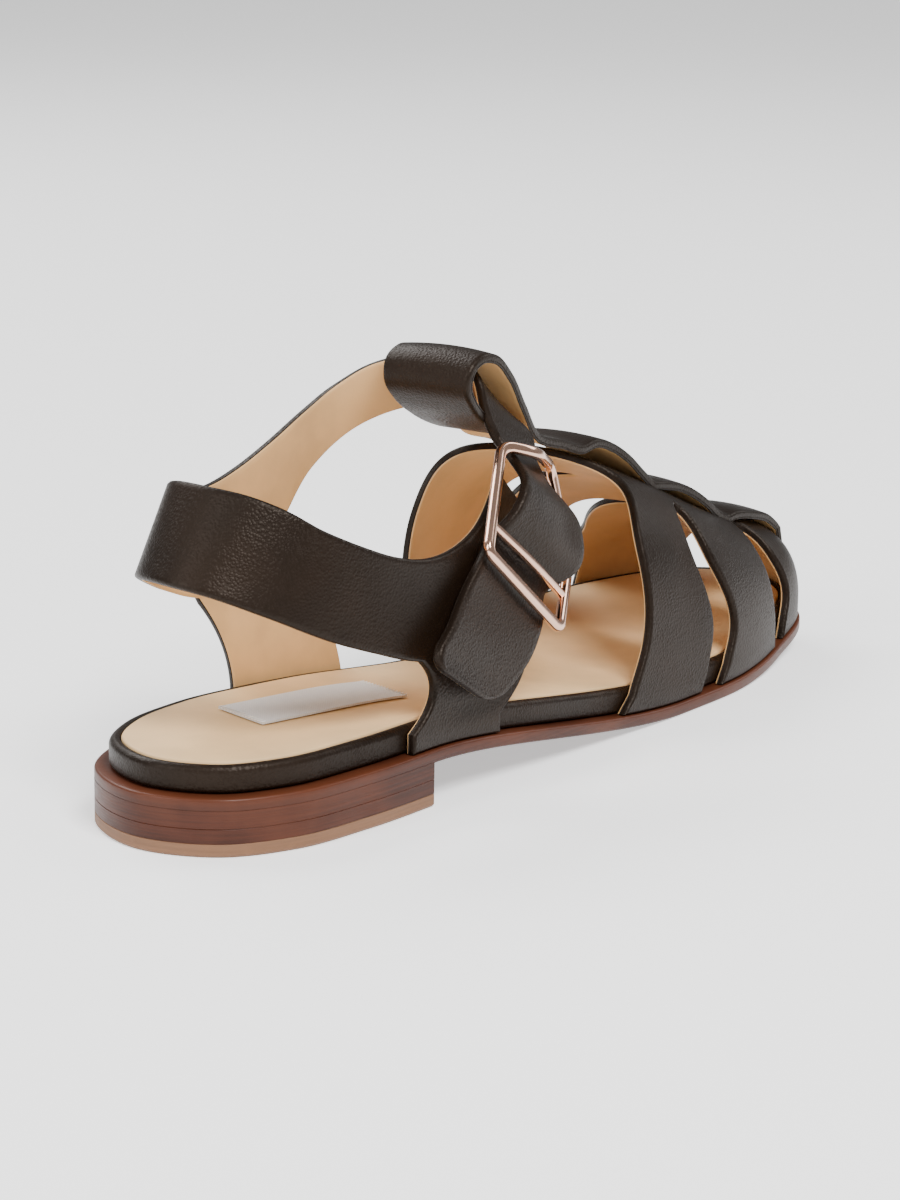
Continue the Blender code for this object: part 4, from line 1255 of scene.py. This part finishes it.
def cushion_section(width, depth):
    """Section of a polished bar: a square with soft shoulders and crowned faces."""
    section = []
    for step in range(BAR_SIDES):
        angle = 2 * pi * step / BAR_SIDES
        a = abs(cos(angle)) ** BAR_SQUARENESS[0] * np.sign(cos(angle)) * width / 2
        b = abs(sin(angle)) ** BAR_SQUARENESS[1] * np.sign(sin(angle)) * depth / 2
        section.append((a, b))
    return section[::-1]


def eased_loop(corners, eases):
    """Closed path through the corners, each rounded over its own distance."""
    path = []
    for i, corner in enumerate(corners):
        before = corners[i - 1] - corner
        after = corners[(i + 1) % len(corners)] - corner
        start = corner + before / np.linalg.norm(before) * eases[i]
        end = corner + after / np.linalg.norm(after) * eases[i]
        path.append(bend_between(start, corner, end, BEND_POINTS))
    return np.vstack(path)


def build_buckle():
    """Polished frame with its centre bar."""
    metal = polished_metal(tuple(bpy.context.scene.sandal.metal))
    corners = np.array([(row["x"], row["y"], row["z"]) for row in FRAME]) * SIZES
    bend = dict(zip([row["bend"] for row in FRAME], corners))
    rear_top = bend["rear top corner"]
    rear_end = bend["rear end corner"]
    front_end = bend["front end corner"]
    outward = np.cross(front_end - rear_top, bend["front top corner"] - rear_end)
    outward /= np.linalg.norm(outward)
    loop = eased_loop(corners, [row["ease"] for row in FRAME])
    frame_mesh = swept_bar(loop, True, cushion_section(BUCKLE_BAR, BUCKLE_DEPTH), outward)
    rear = rear_end + (rear_top - rear_end) * BAR_SHARES[0]
    front = front_end + (bend["bend of the front side"] - front_end) * BAR_SHARES[1]
    middle = (rear + front) / 2 + outward * CENTRE_BAR_BOW
    bar_path = path_through([rear, middle, front], BAR_STEPS)
    bar_mesh = swept_bar(bar_path, False, cushion_section(CENTRE_BAR, CENTRE_BAR_DEPTH), outward)
    for name, (vertices, faces) in (("buckle_frame", frame_mesh), ("buckle_bar", bar_mesh)):
        settle(new_piece(name, vertices, faces, [metal], sharp=60.0), "buckle")


def build_stage():
    """Pale floor, soft lights and the camera."""
    settings = bpy.context.scene.sandal
    corners = [(x * FLOOR_REACH, y * FLOOR_REACH, 0.0) for x, y in ((-1, -1), (1, -1), (1, 1), (-1, 1))]
    mesh = bpy.data.meshes.new("floor")
    mesh.from_pydata(corners, [], [(0, 1, 2, 3)])
    pale = Finish("pale_floor", tuple(settings.floor), 0.9)
    pale.set("Emission Color", tuple(settings.floor))
    pale.set("Emission Strength", settings.glow)
    mesh.materials.append(pale.material)
    link_to_scene("floor", mesh)
    world = bpy.data.worlds.new("studio")
    bpy.context.scene.world = world
    world.use_nodes = True
    sky = world.node_tree.nodes["Background"]
    sky.inputs["Color"].default_value = (1.0, 1.0, 1.0, 1.0)
    sky.inputs["Strength"].default_value = settings.sky
    for name, place, size, power in LIGHTS:
        data = bpy.data.lights.new(name, "AREA")
        data.shape = "RECTANGLE"
        data.size, data.size_y = size
        data.energy = power
        light = link_to_scene(name, data)
        light.location = place
        light.rotation_euler = (Vector(LIT_POINT) - Vector(place)).to_track_quat("-Z", "Y").to_euler()
    add_camera()


def add_camera():
    """The camera, turned about its own line of sight by its roll."""
    azimuth, elevation, roll = (radians(CAMERA[name]) for name in ("azimuth", "elevation", "roll"))
    back = Vector((sin(azimuth) * cos(elevation), -cos(azimuth) * cos(elevation), sin(elevation)))
    right = Vector((cos(azimuth), sin(azimuth), 0.0))
    up = back.cross(right)
    turned_right = right * cos(roll) + up * sin(roll)
    turned_up = up * cos(roll) - right * sin(roll)
    place = Vector(CAMERA["target"]) + back * CAMERA["distance"]
    data = bpy.data.cameras.new("camera")
    data.lens = CAMERA["lens"]
    data.sensor_width = SENSOR
    data.clip_start = NEAREST
    camera = link_to_scene("camera", data)
    rows = [(turned_right[i], turned_up[i], back[i], place[i]) for i in range(3)]
    camera.matrix_world = Matrix((*rows, (0.0, 0.0, 0.0, 1.0)))
    bpy.context.scene.camera = camera


def colour_setting(name, description, default):
    """A setting that holds a colour."""
    return FloatVectorProperty(name=name, description=description, subtype="COLOR", size=3, default=default)


class SandalSettings(PropertyGroup):
    """Colours and small sizes that a user would change."""

    leather: colour_setting("Leather", "Colour of the straps and the wrapped board", (0.0085, 0.0043, 0.0023))
    lining: colour_setting("Lining", "Colour of the straps' lining", (0.68, 0.40, 0.165))
    insole: colour_setting("Insole", "Colour of the insole", (0.80, 0.53, 0.265))
    sole: colour_setting("Sole edge", "Colour of the outsole and the heel lifts", (0.056, 0.0140, 0.0058))
    # Light colour of the sole: its random lighter stains, and the painted highlight on the outsole's top edge
    sole_light: colour_setting("Sole edge, light", "Colour of the worn edge", (0.125, 0.036, 0.015))
    top_lift: colour_setting("Top lift", "Colour of the lift on the floor", (0.20, 0.095, 0.044))
    label: colour_setting("Label", "Colour of the woven label", (0.80, 0.80, 0.79))
    metal: colour_setting("Buckle", "Colour of the buckle's plating", (0.80, 0.50, 0.37))
    floor: colour_setting("Floor", "Colour of the floor", (0.92, 0.92, 0.92))
    sky: FloatProperty(name="Sky", description="Strength of the even light", default=0.28, min=0.0)
    glow: FloatProperty(name="Floor glow", description="Light from the floor itself", default=0.75, min=0.0)
    stitch_length: FloatProperty(name="Stitch length", description="Length of a stitch on the label",
                                 default=0.0013, unit="LENGTH")
    stitch_pitch: FloatProperty(name="Stitch pitch", description="Distance from stitch to stitch",
                                default=0.0011, unit="LENGTH")


class SANDAL_OT_straps(Operator):
    """Build the three cross straps"""
    bl_idname = "sandal.straps"
    bl_label = "Cross straps"

    def execute(self, context):
        settle(build_cross_straps(), "upper")
        return {"FINISHED"}


class SANDAL_OT_spine(Operator):
    """Build the centre strap with its loop"""
    bl_idname = "sandal.spine"
    bl_label = "Centre strap"

    def execute(self, context):
        settle(build_spine(), "upper")
        return {"FINISHED"}


class SANDAL_OT_band(Operator):
    """Build the heel strap, quarters and ankle strap"""
    bl_idname = "sandal.band"
    bl_label = "Heel and ankle strap"

    def execute(self, context):
        settle(build_band(), "upper")
        return {"FINISHED"}


class SANDAL_OT_sole(Operator):
    """Build the outsole, heel lifts and wrapped board"""
    bl_idname = "sandal.sole"
    bl_label = "Sole and heel"

    def execute(self, context):
        build_sole()
        return {"FINISHED"}


class SANDAL_OT_footbed(Operator):
    """Build the insole, its label and the label's stitches"""
    bl_idname = "sandal.footbed"
    bl_label = "Insole and label"

    def execute(self, context):
        build_footbed()
        return {"FINISHED"}


class SANDAL_OT_buckle(Operator):
    """Build the buckle"""
    bl_idname = "sandal.buckle"
    bl_label = "Buckle"

    def execute(self, context):
        build_buckle()
        return {"FINISHED"}


class SANDAL_OT_stage(Operator):
    """Build the floor, the lights and the camera"""
    bl_idname = "sandal.stage"
    bl_label = "Stage"

    def execute(self, context):
        build_stage()
        return {"FINISHED"}


STEPS = (SANDAL_OT_straps, SANDAL_OT_spine, SANDAL_OT_band, SANDAL_OT_sole, SANDAL_OT_footbed,
         SANDAL_OT_buckle, SANDAL_OT_stage)


class SANDAL_PT_panel(Panel):
    """Sizes, colours and building steps of the sandal"""
    bl_idname = "SANDAL_PT_panel"
    bl_label = "Sandal"
    bl_space_type = "VIEW_3D"
    bl_region_type = "UI"
    bl_category = "Sandal"

    def draw(self, context):
        for name in SandalSettings.__annotations__:
            self.layout.prop(context.scene.sandal, name)
        for step in STEPS:
            self.layout.operator(step.bl_idname)


CLASSES = (SandalSettings, *STEPS, SANDAL_PT_panel)


def register():
    for cls in CLASSES:
        bpy.utils.register_class(cls)
    bpy.types.Scene.sandal = PointerProperty(type=SandalSettings)


def unregister():
    del bpy.types.Scene.sandal
    for cls in reversed(CLASSES):
        bpy.utils.unregister_class(cls)


def main():
    register()
    for step in STEPS:
        group, name = step.bl_idname.split(".")
        getattr(getattr(bpy.ops, group), name)()


if __name__ == "__main__":
    main()
